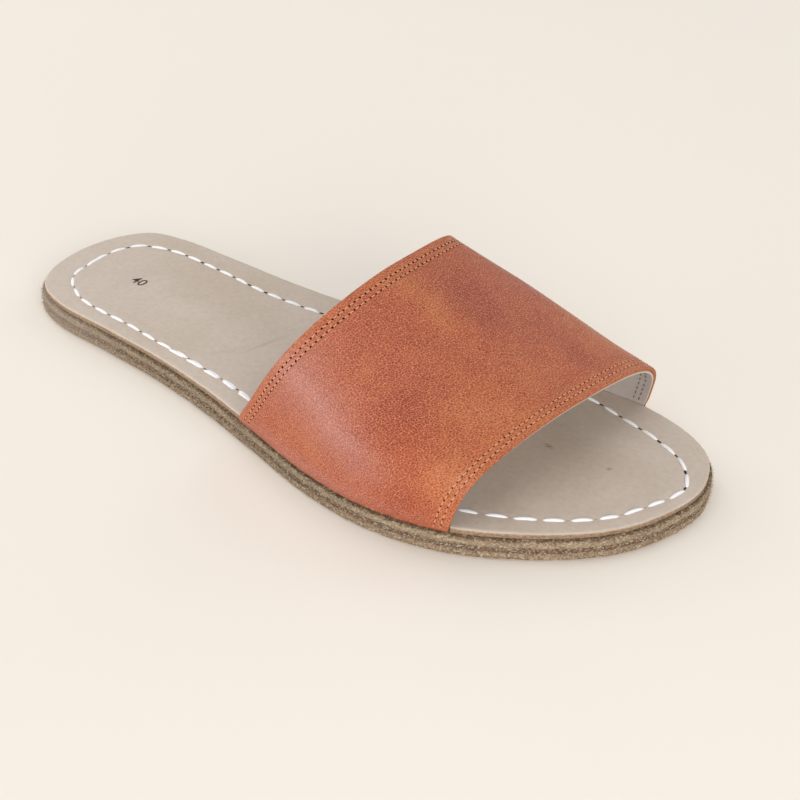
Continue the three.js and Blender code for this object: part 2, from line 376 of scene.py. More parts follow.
def spaced(points, steps):
    """The points of a line, respaced evenly along its length."""
    run = np.concatenate([[0], np.cumsum(np.linalg.norm(np.diff(points, axis=0), axis=1))])
    wanted = np.linspace(0, run[-1], steps + 1)
    return np.stack([np.interp(wanted, run, points[:, i]) for i in range(points.shape[1])], axis=1)


def sole_outline():
    """The outline counter-clockwise from the heel, with the direction into the sole at each point."""
    lateral = [(row[2], row[0]) for row in OUTLINE]
    medial = [(row[1], row[0]) for row in reversed(OUTLINE)]
    ring = np.array([HEEL_POINT[::-1], *lateral, TOE_POINT[::-1], *medial])
    ring = (ring - (0, 0.5)) * (SOLE_WIDTH, SHOE_LENGTH)
    half = len(ring) // 2
    parts = closed_curve(ring)
    to_toe = np.concatenate([*parts[:half], ring[half : half + 1]])
    to_heel = np.concatenate([*parts[half:], ring[:1]])
    points = np.concatenate([spaced(to_toe, HALF_STEPS)[:-1], spaced(to_heel, HALF_STEPS)[:-1]])
    along = np.roll(points, -1, axis=0) - np.roll(points, 1, axis=0)
    along /= np.linalg.norm(along, axis=1)[:, None]
    return points, np.stack([-along[:, 1], along[:, 0]], axis=1)


EDGE_POINTS, EDGE_INWARD = sole_outline()


def inset_outline(inset):
    return EDGE_POINTS + EDGE_INWARD * inset


def side_at(inset, y, side):
    """Where the inset outline crosses y on one side, and which way is into the sole there."""
    half = slice(1, HALF_STEPS) if side == LATERAL else slice(2 * HALF_STEPS - 1, HALF_STEPS, -1)
    points, inward = inset_outline(inset)[half], EDGE_INWARD[half]
    x = np.interp(y, points[:, 1], points[:, 0])
    turn = np.stack([np.interp(y, points[:, 1], inward[:, i]) for i in range(2)], axis=-1)
    turn /= np.linalg.norm(turn, axis=-1, keepdims=True)
    return np.stack([x, np.asarray(y, float)], axis=-1), turn


def strap_table():
    """The strap's outer face as rows of arches from rear to front, with normals that point inwards."""
    share = np.linspace(0, 1, TABLE_ROWS)[:, None]
    value = {name: mix(REAR_EDGE[name], FRONT_EDGE[name], share) for name in REAR_EDGE}
    lateral, lateral_in = side_at(STRAP_INSET[LATERAL], (value["lateral"][:, 0] - 0.5) * SHOE_LENGTH, LATERAL)
    medial, medial_in = side_at(STRAP_INSET[MEDIAL], (value["medial"][:, 0] - 0.5) * SHOE_LENGTH, MEDIAL)
    turn = np.pi * (1 - np.cos(np.pi * np.linspace(0, 1, FINE_STEPS))) / 2
    cosine = np.cos(turn)[None]
    power = np.where(cosine > 0, value["lateral_power"], value["medial_power"])
    across = np.sign(cosine) * np.abs(cosine) ** power
    up = np.maximum(np.sin(turn)[None], 0) ** value["crown_power"]
    rise = value["height"] - STRAP_FOOT
    middle, half = (lateral + medial) / 2, (lateral - medial) / 2
    x = middle[:, :1] + half[:, :1] * across + value["lean"] * rise * up
    y = middle[:, 1:] + half[:, 1:] * across + value["sweep"] * SHOE_LENGTH * up
    fine = np.stack([x, y, STRAP_FOOT + rise * up], axis=-1)
    arches = np.stack([spaced(row, ARCH_STEPS) for row in fine])
    normals = np.cross(np.gradient(arches, axis=1), np.gradient(arches, axis=0))
    normals /= np.linalg.norm(normals, axis=-1, keepdims=True)
    for end, inward in ((0, lateral_in), (-1, medial_in)):
        foot = np.concatenate([inward, np.zeros((TABLE_ROWS, 1))], axis=1)
        for step in range(FOOT_COLUMNS):
            column = end + step if end == 0 else end - step
            normals[:, column] = mix(foot, normals[:, column], step / FOOT_COLUMNS)
    normals /= np.linalg.norm(normals, axis=-1, keepdims=True)
    run = np.cumsum(np.linalg.norm(np.diff(arches, axis=0), axis=-1), axis=0)
    return arches, normals, np.concatenate([np.zeros((1, ARCH_STEPS + 1)), run])


ARCHES, NORMALS, RUN = strap_table()
COLUMNS = np.arange(ARCH_STEPS + 1)
ARCH_LENGTH = line_length(ARCHES[TABLE_ROWS // 2])
AROUND = COLUMNS / ARCH_STEPS * ARCH_LENGTH
FROM_FOOT = np.minimum(AROUND, ARCH_LENGTH - AROUND)


def table_at(table, shares, columns):
    """Values of the strap's table at shares from rear to front, one for each column."""
    place = np.clip(shares * (TABLE_ROWS - 1), 0, TABLE_ROWS - 1 - 1e-9)
    low = place.astype(int)
    return mix(table[low, columns], table[low + 1, columns], (place - low)[..., None])


def fold_height(distances):
    """How far the leather stands proud at distances from the rear edge, for every column."""
    total = np.zeros(distances.shape)
    for fold in FOLDS:
        turn = math.radians(fold["turn"])
        x = AROUND - fold["around"] * ARCH_LENGTH
        y = distances - fold["along"]
        length = (x * math.sin(turn) + y * math.cos(turn)) / fold["length"]
        width = (x * math.cos(turn) - y * math.sin(turn)) / fold["width"]
        total += fold["height"] * np.exp(-4 * length**2 - 2 * width**2)
    fade = np.exp(-((np.maximum(FROM_FOOT - ROLL_END, 0) / ROLL_FADE) ** 2))
    roll = FOOT_ROLL * smooth(0, ROLL_FULL, FROM_FOOT) * fade
    return total * smooth(*FOLDS_FROM_FOOT, FROM_FOOT) + roll


def stitch_groove(distances):
    """Depth of the grooves that the strap's stitches are drawn into."""
    total = np.zeros(distances.shape)
    for rows, from_edge in ((REAR_STITCHES, distances), (FRONT_STITCHES, RUN[-1] - distances)):
        for row in rows:
            total += GROOVE_DEPTH * np.exp(-(((from_edge - row) / GROOVE_WIDTH) ** 2))
    return total * smooth(*GROOVE_FROM_FOOT, FROM_FOOT)


def strap_face(distances, depth):
    """Points and inward normals of the strap, with a row for each row of distances."""
    steps = np.linspace(0, 1, TABLE_ROWS)
    shares = np.stack([np.interp(distances[:, c], RUN[:, c], steps) for c in COLUMNS], axis=1)
    base = table_at(ARCHES, shares, COLUMNS)
    normal = table_at(NORMALS, shares, COLUMNS)
    normal /= np.linalg.norm(normal, axis=-1, keepdims=True)
    return base + normal * (depth - fold_height(distances))[..., None], normal, shares


def row_distances(set_back):
    """Distances of the strap's rows from its rear edge, a column for each of the arch."""
    cut = [distance for distance, _ in CUT_EDGE]
    rear = np.array(cut + list(REAR_ROWS)) + set_back
    front = np.array(cut + list(FRONT_ROWS)) + set_back
    table = []
    for length in RUN[-1]:
        middle = np.linspace(rear[-1], length - front[-1], MIDDLE_ROWS + 2)[1:-1]
        table.append(np.concatenate([rear, middle, (length - front)[::-1]]))
    return np.array(table).T


def tuck_points(side, shares, depth, wall):
    """The tuck and its bend at one foot, from its far end to the start of the arch."""
    name = SIDE_NAMES[side]
    y = (mix(REAR_EDGE[name], FRONT_EDGE[name], shares) - 0.5) * SHOE_LENGTH
    foot, inward = side_at(STRAP_INSET[side], y, side)
    inner_bend = TUCK_BEND - TUCK_THICKNESS
    over = FOOTBED_LOW + TUCK_THICKNESS
    steps = []
    for i in range(TUCK_STEPS):
        share = i / TUCK_STEPS
        outer_in, inner_in = mix(TUCK_LENGTH, TUCK_BEND, share), mix(TUCK_LENGTH, wall + inner_bend, share)
        steps.append((outer_in, FOOTBED_LOW, inner_in, over))
    for i in range(BEND_STEPS):
        angle = math.pi / 2 * i / BEND_STEPS
        short, lift = 1 - math.sin(angle), 1 - math.cos(angle)
        outer_up, inner_up = mix(FOOTBED_LOW, STRAP_FOOT, lift), mix(over, STRAP_FOOT, lift)
        steps.append((TUCK_BEND * short, outer_up, wall + inner_bend * short, inner_up))
    share = (depth / wall)[:, None]
    points = []
    for outer_in, outer_up, inner_in, inner_up in steps:
        place = foot + inward * mix(outer_in, inner_in, share)
        points.append(np.concatenate([place, mix(outer_up, inner_up, share)], axis=1))
    return np.stack(points, axis=1)


def grid_faces(rows, columns, first=0, turned=False):
    """Quads of a grid of points that are stored row by row."""
    faces = []
    for row in range(rows - 1):
        for column in range(columns - 1):
            a = first + row * columns + column
            quad = (a, a + columns, a + columns + 1, a + 1)
            faces.append(quad[::-1] if turned else quad)
    return faces


def strap_sheet(outer_depth, inner_depth, set_back, tucked):
    """One sheet of the strap: outer and inner grids joined at their edges, and each point's own values."""
    distances = row_distances(set_back)
    rows = len(distances)
    cut = np.zeros(rows)
    for i, (_, depth) in enumerate(CUT_EDGE):
        cut[i] = cut[rows - 1 - i] = depth * (inner_depth - outer_depth) / LEATHER_WALL
    groove = stitch_groove(distances) if tucked else 0
    layers = []
    for depth, sunk in ((outer_depth + cut, groove), (inner_depth - cut, 0)):
        points, normal, shares = strap_face(distances, depth[:, None])
        points += normal * np.broadcast_to(sunk, distances.shape)[..., None]
        if tucked:
            lateral = tuck_points(LATERAL, shares[:, 0], depth, inner_depth)
            medial = tuck_points(MEDIAL, shares[:, -1], depth, inner_depth)
            points = np.concatenate([lateral, points, medial[:, ::-1]], axis=1)
        layers.append(points)
    outer, inner = layers
    columns = outer.shape[1]
    size = rows * columns
    vertices = np.concatenate([outer.reshape(-1, 3), inner.reshape(-1, 3)])
    faces = grid_faces(rows, columns) + grid_faces(rows, columns, size, turned=True)
    for row in range(rows - 1):
        a, b = row * columns, (row + 1) * columns
        faces.append((b, a, a + size, b + size))
        a, b = a + columns - 1, b + columns - 1
        faces.append((a, b, b + size, a + size))
    last = (rows - 1) * columns
    for column in range(columns - 1):
        faces.append((column, column + 1, column + 1 + size, column + size))
        faces.append((last + column + 1, last + column, last + column + size, last + column + 1 + size))
    return vertices, faces, strap_values(distances, shares, columns, cut, tucked)


def strap_values(distances, shares, columns, cut, bare_inside):
    """Dye, painted sheen, trim, cut edge and lay at each point of a strap sheet, for its material."""
    around = np.broadcast_to(COLUMNS / ARCH_STEPS, shares.shape)
    clouds = {}
    for name, patches in (("brick", PATCHES), ("bloom", PAINTED_SHEEN_PATCHES)):
        clouds[name] = np.zeros(shares.shape)
        for patch in patches:
            x = (shares - patch["along"]) / patch["reach_along"]
            y = (around - patch["around"]) / patch["reach_around"]
            clouds[name] += patch[name] * np.exp(-(x**2) - y**2)
    from_edge = np.minimum(distances, RUN[-1] - distances)
    rim = 1 - smooth(*RIM_FROM_EDGE, from_edge)
    raw = np.broadcast_to(smooth(*CUT_SHOWS, cut)[:, None], shares.shape)
    lengths = np.linalg.norm(np.diff(ARCHES, axis=1), axis=-1).sum(axis=1)
    across = (around - 0.5) * np.interp(shares, np.linspace(0, 1, TABLE_ROWS), lengths)
    values = {**clouds, "rim": rim, "raw": raw, "lay_across": across, "lay_along": distances}
    extra = (columns - len(COLUMNS)) // 2
    made = {}
    for name, grid in values.items():
        wide = np.pad(grid, ((0, 0), (extra, extra)), mode="edge").ravel()
        made[name] = np.concatenate([wide, np.ones_like(wide) if name == "raw" and bare_inside else wide])
    return made


def rough_side(points, seed, amount):
    """Small uneven steps in a raw edge, in millimetres along the sole."""
    across, up = UNEVEN_ACROSS, UNEVEN_UP
    places = (Vector((x * across, y * across, z * up + seed)) for x, y, z in points)
    return [amount * noise.fractal(place, *UNEVEN_OCTAVES) for place in places]


def layer_side(bottom, thickness, inset, rounding, side, seed, amount):
    """Rings of the outline for each row of a layer's side, slightly uneven, with the faces between them."""
    count = len(EDGE_POINTS)
    vertices, faces = [], []
    for height, share in side:
        z = np.full((count, 1), bottom + height * thickness)
        ring = np.concatenate([inset_outline(inset + share * rounding), z], axis=1)
        shift = np.array(rough_side(ring, seed, amount)) + amount * 0.5
        ring[:, :2] += EDGE_INWARD * np.maximum(shift, 0)[:, None]
        vertices += ring.tolist()
    for ring in range(len(side) - 1):
        for i in range(count):
            a, b = ring * count + i, ring * count + (i + 1) % count
            faces.append((a, b, b + count, a + count))
    return vertices, faces, (len(side) - 1) * count


def torn_side(layer, low):
    """The side of one of the sole's torn layers, from a height up."""
    shape = (layer["inset"], layer["rounding"], layer["side"])
    return layer_side(low, layer["high"] - low, *shape, low, SOLE_UNEVEN)


def ladder_top(vertices, faces, top, columns):
    """Closes a ring with rungs from its lateral to its medial half."""
    count = len(EDGE_POINTS)
    ring = np.array(vertices[top : top + count])
    shares = np.linspace(0, 1, columns + 1)[1:-1]
    rungs = []
    for i in range(1, HALF_STEPS):
        first = len(vertices)
        vertices.extend(mix(ring[i], ring[count - i], share).tolist() for share in shares)
        rungs.append([top + i, *range(first, first + len(shares)), top + count - i])
    for near, far in zip(rungs, rungs[1:]):
        for column in range(columns):
            faces.append((near[column], far[column], far[column + 1], near[column + 1]))
    heel, toe = top, top + HALF_STEPS
    for column in range(columns):
        faces.append((heel, rungs[0][column], rungs[0][column + 1]))
        faces.append((toe, rungs[-1][column + 1], rungs[-1][column]))


def seam_curve():
    ring = np.array(SEAM_LINE)
    return spaced(np.concatenate([*closed_curve(ring), ring[:1]]), SEAM_STEPS)


SEAM = seam_curve()


def seam_distances(points):
    """Distance of each point from the seam on the footbed, in millimetres."""
    tree = kdtree.KDTree(len(SEAM))
    for i, (x, y) in enumerate(SEAM):
        tree.insert((x, y, 0), i)
    tree.balance()
    return np.array([tree.find((x, y, 0))[2] for x, y, _ in points])


def mark_and_shade_strength(points, name):
    """The footbed's marks of wear and its painted shade at each point, as one of their values."""
    total = np.zeros(len(points))
    for mark_and_shade in FOOTBED_MARKS_AND_SHADE:
        turn = math.radians(mark_and_shade["turn"])
        x, y = points[:, 0] - mark_and_shade["across"], points[:, 1] - mark_and_shade["along"]
        length = (x * math.cos(turn) + y * math.sin(turn)) / mark_and_shade["length"]
        width = (y * math.cos(turn) - x * math.sin(turn)) / mark_and_shade["width"]
        total += mark_and_shade[name] * np.exp(-(length**2) - width**2)
    return total


def linked(name, data):
    """An object of the scene that holds the data."""
    made = bpy.data.objects.new(name, data)
    bpy.context.scene.collection.objects.link(made)
    return made


def set_values(mesh, name, values, kind="FLOAT"):
    """Gives each point of a mesh its value, or its vector, under a name that materials and trees can read."""
    layer = mesh.attributes.new(name, kind, "POINT")
    field = "value" if kind == "FLOAT" else "vector"
    layer.data.foreach_set(field, np.asarray(values, dtype=np.float32).ravel())


def plain_mesh(holder):
    """The mesh that an object shows, with its modifiers or its text worked out."""
    bpy.context.view_layer.update()
    return bpy.data.meshes.new_from_object(holder.evaluated_get(bpy.context.evaluated_depsgraph_get()))


def new_piece(name, vertices, faces, material, attributes=None):
    """A smooth mesh object at the origin from points in millimetres."""
    mesh = bpy.data.meshes.new(name)
    mesh.from_pydata((np.asarray(vertices) * MM).tolist(), [], faces)
    for key, values in (attributes or {}).items():
        set_values(mesh, key, values)
    mesh.shade_smooth()
    mesh.materials.append(material)
    return linked(name, mesh)


def applied(piece):
    """Turns a piece's evaluated modifiers into its plain mesh and removes them."""
    mesh = plain_mesh(piece)
    piece.modifiers.clear()
    old, piece.data = piece.data, mesh
    bpy.data.meshes.remove(old)
    mesh.name = piece.name
    return piece


def fitted(piece, slot, *nodes):
    """Gives a piece its body and hides the nodes that it replaces. The slot is not used."""
    if nodes:
        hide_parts(*nodes)
    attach(piece, ROOT)
    return piece


def add_node(tree, kind, links=None, **settings):
    """Adds a node: links are nodes, sockets or values for its inputs, settings are its own properties."""
    made = tree.nodes.new(kind)
    for name, value in settings.items():
        setattr(made, name, value)
    for key, value in (links or {}).items():
        if isinstance(value, bpy.types.Node):
            value = next(socket for socket in value.outputs if socket.enabled)
        if isinstance(value, bpy.types.NodeSocket):
            tree.links.new(value, made.inputs[key])
        else:
            made.inputs[key].default_value = value
    return made


def new_material(name):
    made = bpy.data.materials.new(name)
    made.use_nodes = True
    made.node_tree.nodes.clear()
    return made, made.node_tree


def finished(material, links):
    """Ends a material in its shader: links are what the shader's inputs get."""
    shader = add_node(material.node_tree, "ShaderNodeBsdfPrincipled", links)
    add_node(material.node_tree, "ShaderNodeOutputMaterial", {"Surface": shader})
    return material


def rgba(colour):
    """A colour with its alpha, from a hex value or linear channels."""
    channels = linear(colour) if isinstance(colour, str) else colour
    return (*channels[:3], 1.0)


def colour_stops(ramp, stops):
    """Gives a colour ramp its stops, each a position and a colour."""
    made = ramp.color_ramp.elements
    for i, (position, colour) in enumerate(stops):
        stop = made[0] if i == 0 else made[-1] if i == len(stops) - 1 else made.new(position)
        stop.position = position
        stop.color = rgba(colour)


def pull_up_leather(sizes):
    """Waxed cowhide, drum dyed and tumbled: brick and ochre clouds, a pebbled grain just under a millimetre
    wide with dark pores in a paler net, a soft waxy gloss, and a dry tan core that shows at the cut edges.
    Its colour also holds a painted pink sheen where highlights fall, and painted shade just above the sole."""
    material, tree = new_material("pull_up_leather")
    place = add_node(tree, "ShaderNodeTexCoord").outputs["Object"]
    brick, rim, raw, bloom, across, along = (
        add_node(tree, "ShaderNodeAttribute", attribute_name=name).outputs["Fac"]
        for name in ("brick", "rim", "raw", "bloom", "lay_across", "lay_along")
    )
    # Clouds of dye about 25 mm across, and a mottle of about 5 mm
    cloud = add_node(
        tree, "ShaderNodeTexNoise", {"Vector": place, "Scale": 40.0, "Detail": 3.0, "Distortion": 0.6}
    )
    mottle = add_node(
        tree, "ShaderNodeTexNoise", {"Vector": place, "Scale": 190.0, "Detail": 4.0, "Roughness": 0.65}
    )
    dye = 0.0
    for source, amount in ((brick, 0.4), (rim, -0.16), (cloud, 0.4), (mottle, 0.6)):
        dye = add_node(tree, "ShaderNodeMath", {0: source, 1: amount, 2: dye}, operation="MULTIPLY_ADD")
    base = add_node(tree, "ShaderNodeValToRGB", {"Fac": dye})
    colour_stops(base, ((0.15, sizes.ochre), (0.5, sizes.cognac), (0.9, sizes.brick)))
    # Pebbles of about 0.8 mm in the strap's own lay, each with a pore in its middle and a paler net around it
    lay = add_node(tree, "ShaderNodeCombineXYZ", {"X": across, "Y": along})
    bent = add_node(tree, "ShaderNodeTexNoise", {"Vector": lay, "Scale": 0.4, "Detail": 2.0})
    bend = {0: bent.outputs["Color"], "Scale": 1.4}
    shift = add_node(tree, "ShaderNodeVectorMath", bend, operation="SCALE")
    laid = add_node(tree, "ShaderNodeVectorMath", {0: lay, 1: shift}, operation="ADD")
    cells = {"Vector": laid, "Scale": 1.2}
    pore = add_node(tree, "ShaderNodeTexVoronoi", cells, voronoi_dimensions="2D")
    pebble = add_node(
        tree, "ShaderNodeTexVoronoi", cells, voronoi_dimensions="2D", feature="DISTANCE_TO_EDGE"
    )
    fine = add_node(tree, "ShaderNodeTexNoise", {"Vector": lay, "Scale": 0.9, "Detail": 3.0})
    level = add_node(tree, "ShaderNodeSeparateXYZ", {0: place}).outputs["Z"]
    pits, net, worn, broken, painted_foot_shade, gloss = (
        add_node(
            tree,
            "ShaderNodeMapRange",
            {"Value": source, "From Min": start, "From Max": end, "To Min": first, "To Max": last},
            interpolation_type=kind,
        )
        for source, start, end, first, last, kind in (
            (pore, 0.06, 0.42, 1.0, 0.0, "SMOOTHSTEP"),
            (pebble, 0.0, 0.2, 1.0, 0.0, "SMOOTHSTEP"),
            (mottle, 0.3, 0.7, 0.85, 1.5, "LINEAR"),
            (fine, 0.35, 0.65, 0.1, 1.0, "LINEAR"),
            # Painted shade: dark brown over the strap's last millimetre above the sole
            (level, 0.0079, 0.0092, 0.8, 0.0, "SMOOTHSTEP"),
            (mottle, 0.3, 0.7, 0.4, 0.52, "LINEAR"),
        )
    )
    # Some pores are deep and some are all but closed, the painted sheen pales them,
    # and the net breaks into short strokes
    depth = add_node(tree, "ShaderNodeSeparateColor", {"Color": pore.outputs["Color"]}).outputs["Red"]
    shown = add_node(tree, "ShaderNodeMath", {0: bloom, 1: -0.6, 2: 1.0}, operation="MULTIPLY_ADD")
    dark = pits
    for share in (worn, depth, shown):
        dark = add_node(tree, "ShaderNodeMath", {0: dark, 1: share}, operation="MULTIPLY")
    pale = add_node(tree, "ShaderNodeMath", {0: net, 1: broken}, operation="MULTIPLY")
    core = add_node(tree, "ShaderNodeTexNoise", {"Vector": place, "Scale": 1500.0, "Detail": 3.0})
    links = {0: core, 6: rgba("#8f4722"), 7: rgba(sizes.core)}
    cut = add_node(tree, "ShaderNodeMix", links, data_type="RGBA")
    # Painted sheen, net, pores, painted shade along the last millimetre above the sole, and the core at a cut
    # edge
    colour = base
    for share, over in (
        # Painted sheen: a pink, paler veil over the dye
        (bloom, rgba("#a9706b")),
        (pale, rgba(sizes.net)),
        (dark, rgba(sizes.pore)),
        (painted_foot_shade, rgba("#4a2312")),
        (raw, cut),
    ):
        colour = add_node(tree, "ShaderNodeMix", {0: share, 6: colour, 7: over}, data_type="RGBA")
    rough = add_node(tree, "ShaderNodeMix", {0: raw, 2: gloss, 3: 0.85})
    height = net
    for source, amount in ((pits, -1.0), (fine, 0.6)):
        height = add_node(tree, "ShaderNodeMath", {0: source, 1: amount, 2: height}, operation="MULTIPLY_ADD")
    bump = add_node(tree, "ShaderNodeBump", {"Strength": 0.8, "Distance": 0.00011, "Height": height})
    links = {"Base Color": colour, "Roughness": rough, "Normal": bump, "IOR": 1.5, "Specular IOR Level": 0.3}
    return finished(material, {**links, "Coat Weight": 0.3, "Coat Roughness": 0.36})


def lining_leather(sizes):
    """Undyed pigskin split, glued to the strap: a dull grey-white with a short nap."""
    material, tree = new_material("lining_split")
    place = add_node(tree, "ShaderNodeTexCoord").outputs["Object"]
    raw = add_node(tree, "ShaderNodeAttribute", attribute_name="raw").outputs["Fac"]
    nap = add_node(tree, "ShaderNodeTexNoise", {"Vector": place, "Scale": 900.0, "Detail": 4.0})
    cloud = add_node(tree, "ShaderNodeTexNoise", {"Vector": place, "Scale": 90.0, "Detail": 3.0})
    shade = 0.1
    for source, amount in ((cloud, 0.6), (nap, 0.3)):
        shade = add_node(tree, "ShaderNodeMath", {0: source, 1: amount, 2: shade}, operation="MULTIPLY_ADD")
    colour = rgba("#91867f")
    for share, over in ((shade, sizes.lining), (raw, "#cdb5a5")):
        colour = add_node(tree, "ShaderNodeMix", {0: share, 6: colour, 7: rgba(over)}, data_type="RGBA")
    bump = add_node(tree, "ShaderNodeBump", {"Strength": 0.5, "Distance": 0.00015, "Height": nap})
    return finished(material, {"Base Color": colour, "Roughness": 0.85, "Sheen Weight": 0.2, "Normal": bump})


def footbed_leather(sizes):
    """Vegetable-tanned leather, plated smooth and undyed: a matt grey-beige with slow clouds, fine pores, a
    few marks and a faint painted shade in front of the strap, over a brown fibrous cut edge."""
    material, tree = new_material("footbed_leather")
    place = add_node(tree, "ShaderNodeTexCoord").outputs["Object"]
    mark_and_shade, raw = (
        add_node(tree, "ShaderNodeAttribute", attribute_name=name).outputs["Fac"] for name in ("mark_and_shade", "raw")
    )
    drawn = add_node(tree, "ShaderNodeMapping", {"Vector": place, "Scale": (1.0, 0.35, 1.0)})
    fibre = add_node(tree, "ShaderNodeMapping", {"Vector": place, "Scale": (1.0, 1.0, 2.5)})
    cloud, speck, streak, strand = (
        add_node(tree, "ShaderNodeTexNoise", links)
        for links in (
            {"Vector": place, "Scale": 28.0, "Detail": 4.0, "Distortion": 0.4},
            {"Vector": place, "Scale": 420.0, "Detail": 3.0, "Roughness": 0.6},
            {"Vector": drawn, "Scale": 1300.0, "Detail": 2.0},
            {"Vector": fibre, "Scale": 900.0, "Detail": 4.0, "Roughness": 0.7},
        )
    )
    shade = -0.7
    for source, amount in ((cloud, 1.2), (speck, 0.7), (streak, 0.6)):
        shade = add_node(tree, "ShaderNodeMath", {0: source, 1: amount, 2: shade}, operation="MULTIPLY_ADD")
    edge = add_node(tree, "ShaderNodeValToRGB", {"Fac": strand})
    colour_stops(edge, ((0.32, "#6a523f"), (0.66, sizes.footbed_edge)))
    colour = rgba(sizes.footbed_dark)
    # The marks of wear and the painted shade in front of the strap share one brown
    for share, over in ((shade, rgba(sizes.footbed_light)), (mark_and_shade, rgba("#77573d")), (raw, edge)):
        colour = add_node(tree, "ShaderNodeMix", {0: share, 6: colour, 7: over}, data_type="RGBA")
    pores = add_node(tree, "ShaderNodeTexVoronoi", {"Vector": place, "Scale": 1300.0})
    height = add_node(tree, "ShaderNodeMath", {0: speck, 1: 1.4, 2: pores}, operation="MULTIPLY_ADD")
    height = add_node(tree, "ShaderNodeMix", {0: raw, 2: height, 3: strand})
    depth = add_node(tree, "ShaderNodeMapRange", {"Value": raw, "To Min": 0.12, "To Max": 0.9})
    rough = add_node(tree, "ShaderNodeMapRange", {"Value": raw, "To Min": 0.56, "To Max": 0.92})
    bump = add_node(tree, "ShaderNodeBump", {"Strength": depth, "Distance": 0.0002, "Height": height})
    return finished(material, {"Base Color": colour, "Roughness": rough, "IOR": 1.45, "Normal": bump})


def raw_edge_leather(name, bands, fleck, flecks):
    """Thick sole leather, split and sanded at its edge: matt and fibrous, mottled in grains of about a
    millimetre, in bands that follow its layers, with pale flecks of torn fibre. Each band is a height in
    millimetres with its dark and light colour."""
    material, tree = new_material(name)
    place = add_node(tree, "ShaderNodeTexCoord").outputs["Object"]
    axes = add_node(tree, "ShaderNodeSeparateXYZ", {0: place})
    flat = add_node(tree, "ShaderNodeMapping", {"Vector": place, "Scale": (1.0, 1.0, 1.5)})
    wave, patch, strand, torn = (
        add_node(tree, "ShaderNodeTexNoise", links)
        for links in (
            {"Vector": place, "Scale": 160.0, "Detail": 5.0, "Roughness": 0.8},
            {"Vector": flat, "Scale": 170.0, "Detail": 4.0, "Roughness": 0.6},
            {"Vector": flat, "Scale": 950.0, "Detail": 4.0, "Roughness": 0.8},
            {"Vector": flat, "Scale": 1250.0, "Detail": 3.0},
        )
    )
    uneven = add_node(tree, "ShaderNodeMath", {0: wave, 1: 0.0024, 2: -0.0012}, operation="MULTIPLY_ADD")
    level = add_node(tree, "ShaderNodeMath", {0: axes.outputs["Z"], 1: uneven}, operation="ADD")
    low, high = bands[0][0] * MM, bands[-1][0] * MM
    band = add_node(tree, "ShaderNodeMapRange", {"Value": level, "From Min": low, "From Max": high})
    shades = []
    for shade in (1, 2):
        ramp = add_node(tree, "ShaderNodeValToRGB", {"Fac": band})
        colour_stops(ramp, [((step[0] * MM - low) / (high - low), step[shade]) for step in bands])
        shades.append(ramp)
    grain = -0.25
    for source, amount in ((patch, 0.5), (strand, 2.2)):
        grain = add_node(tree, "ShaderNodeMath", {0: source, 1: amount, 2: grain}, operation="MULTIPLY_ADD")
    grain = add_node(tree, "ShaderNodeMapRange", {"Value": grain, "From Min": 0.82, "From Max": 1.42})
    pale, dark, dull, dry = (
        add_node(
            tree,
            "ShaderNodeMapRange",
            {"Value": source, "From Min": start, "From Max": end, "To Min": first, "To Max": last},
            interpolation_type="SMOOTHSTEP",
        )
        for source, start, end, first, last in (
            (torn, 0.54, 0.61, 0.0, flecks),
            (torn, 0.37, 0.46, 0.45, 0.0),
            (axes.outputs["Y"], 0.02, 0.1, 0.8, 1.0),
            (axes.outputs["Y"], -0.12, -0.05, 0.34, 0.0),
        )
    )
    # Flecks and the pits between them, the worn and darkened waist and ball, and the dry and greyish heel
    colour = shades[0]
    for share, over, blend in (
        (grain, shades[1], "MIX"),
        (pale, rgba(fleck), "MIX"),
        (dark, rgba("#4e3b2c"), "MIX"),
        (1.0, dull, "MULTIPLY"),
        (dry, rgba("#c6b7ab"), "MIX"),
    ):
        links = {0: share, 6: colour, 7: over}
        colour = add_node(tree, "ShaderNodeMix", links, data_type="RGBA", blend_type=blend)
    relief = add_node(tree, "ShaderNodeMath", {0: strand, 1: pale}, operation="ADD")
    bump = add_node(tree, "ShaderNodeBump", {"Strength": 1.0, "Distance": 0.0005, "Height": relief})
    links = {"Base Color": colour, "Roughness": 0.92, "Normal": bump, "IOR": 1.45, "Specular IOR Level": 0.2}
    return finished(material, links)


def mottled(name, dark, light, grain, finish, relief=0.0):
    """A material between two colours on a fine grain. Grain and finish are what its noise and shader get, and
    relief is the strength of its bump."""
    material, tree = new_material(name)
    place = add_node(tree, "ShaderNodeTexCoord").outputs["Object"]
    speck = add_node(tree, "ShaderNodeTexNoise", {"Vector": place, **grain})
    colour = add_node(tree, "ShaderNodeMix", {0: speck, 6: rgba(dark), 7: rgba(light)}, data_type="RGBA")
    links = {"Base Color": colour, **finish}
    if relief:
        bump = {"Strength": relief, "Distance": 0.0001, "Height": speck}
        links["Normal"] = add_node(tree, "ShaderNodeBump", bump)
    return finished(material, links)


def spun_thread(name, dark, light, roughness):
    """Waxed spun thread: fine uneven strands that catch a little light."""
    return mottled(name, dark, light, {"Scale": 1700.0, "Detail": 3.0}, {"Roughness": roughness}, relief=0.4)


def shaded_hole(name, dark, light):
    """The shaded inside of a needle hole."""
    return mottled(name, dark, light, {"Scale": 1500.0}, {"Roughness": 0.95, "Specular IOR Level": 0.1})


def burnt_print():
    """Size number burnt into the leather: dark brown, mottled."""
    return mottled("burnt_print", "#241712", "#5b4538", {"Scale": 1100.0, "Detail": 3.0}, {"Roughness": 0.75})


def pale_floor(colour):
    """Matt studio paper."""
    near = tuple(c * 0.995 for c in colour)
    return mottled("pale_floor", near, colour, {"Scale": 6.0}, {"Roughness": 0.95})


SOCKET_KINDS = {float: "NodeSocketFloat", int: "NodeSocketInt", type(None): "NodeSocketMaterial"}


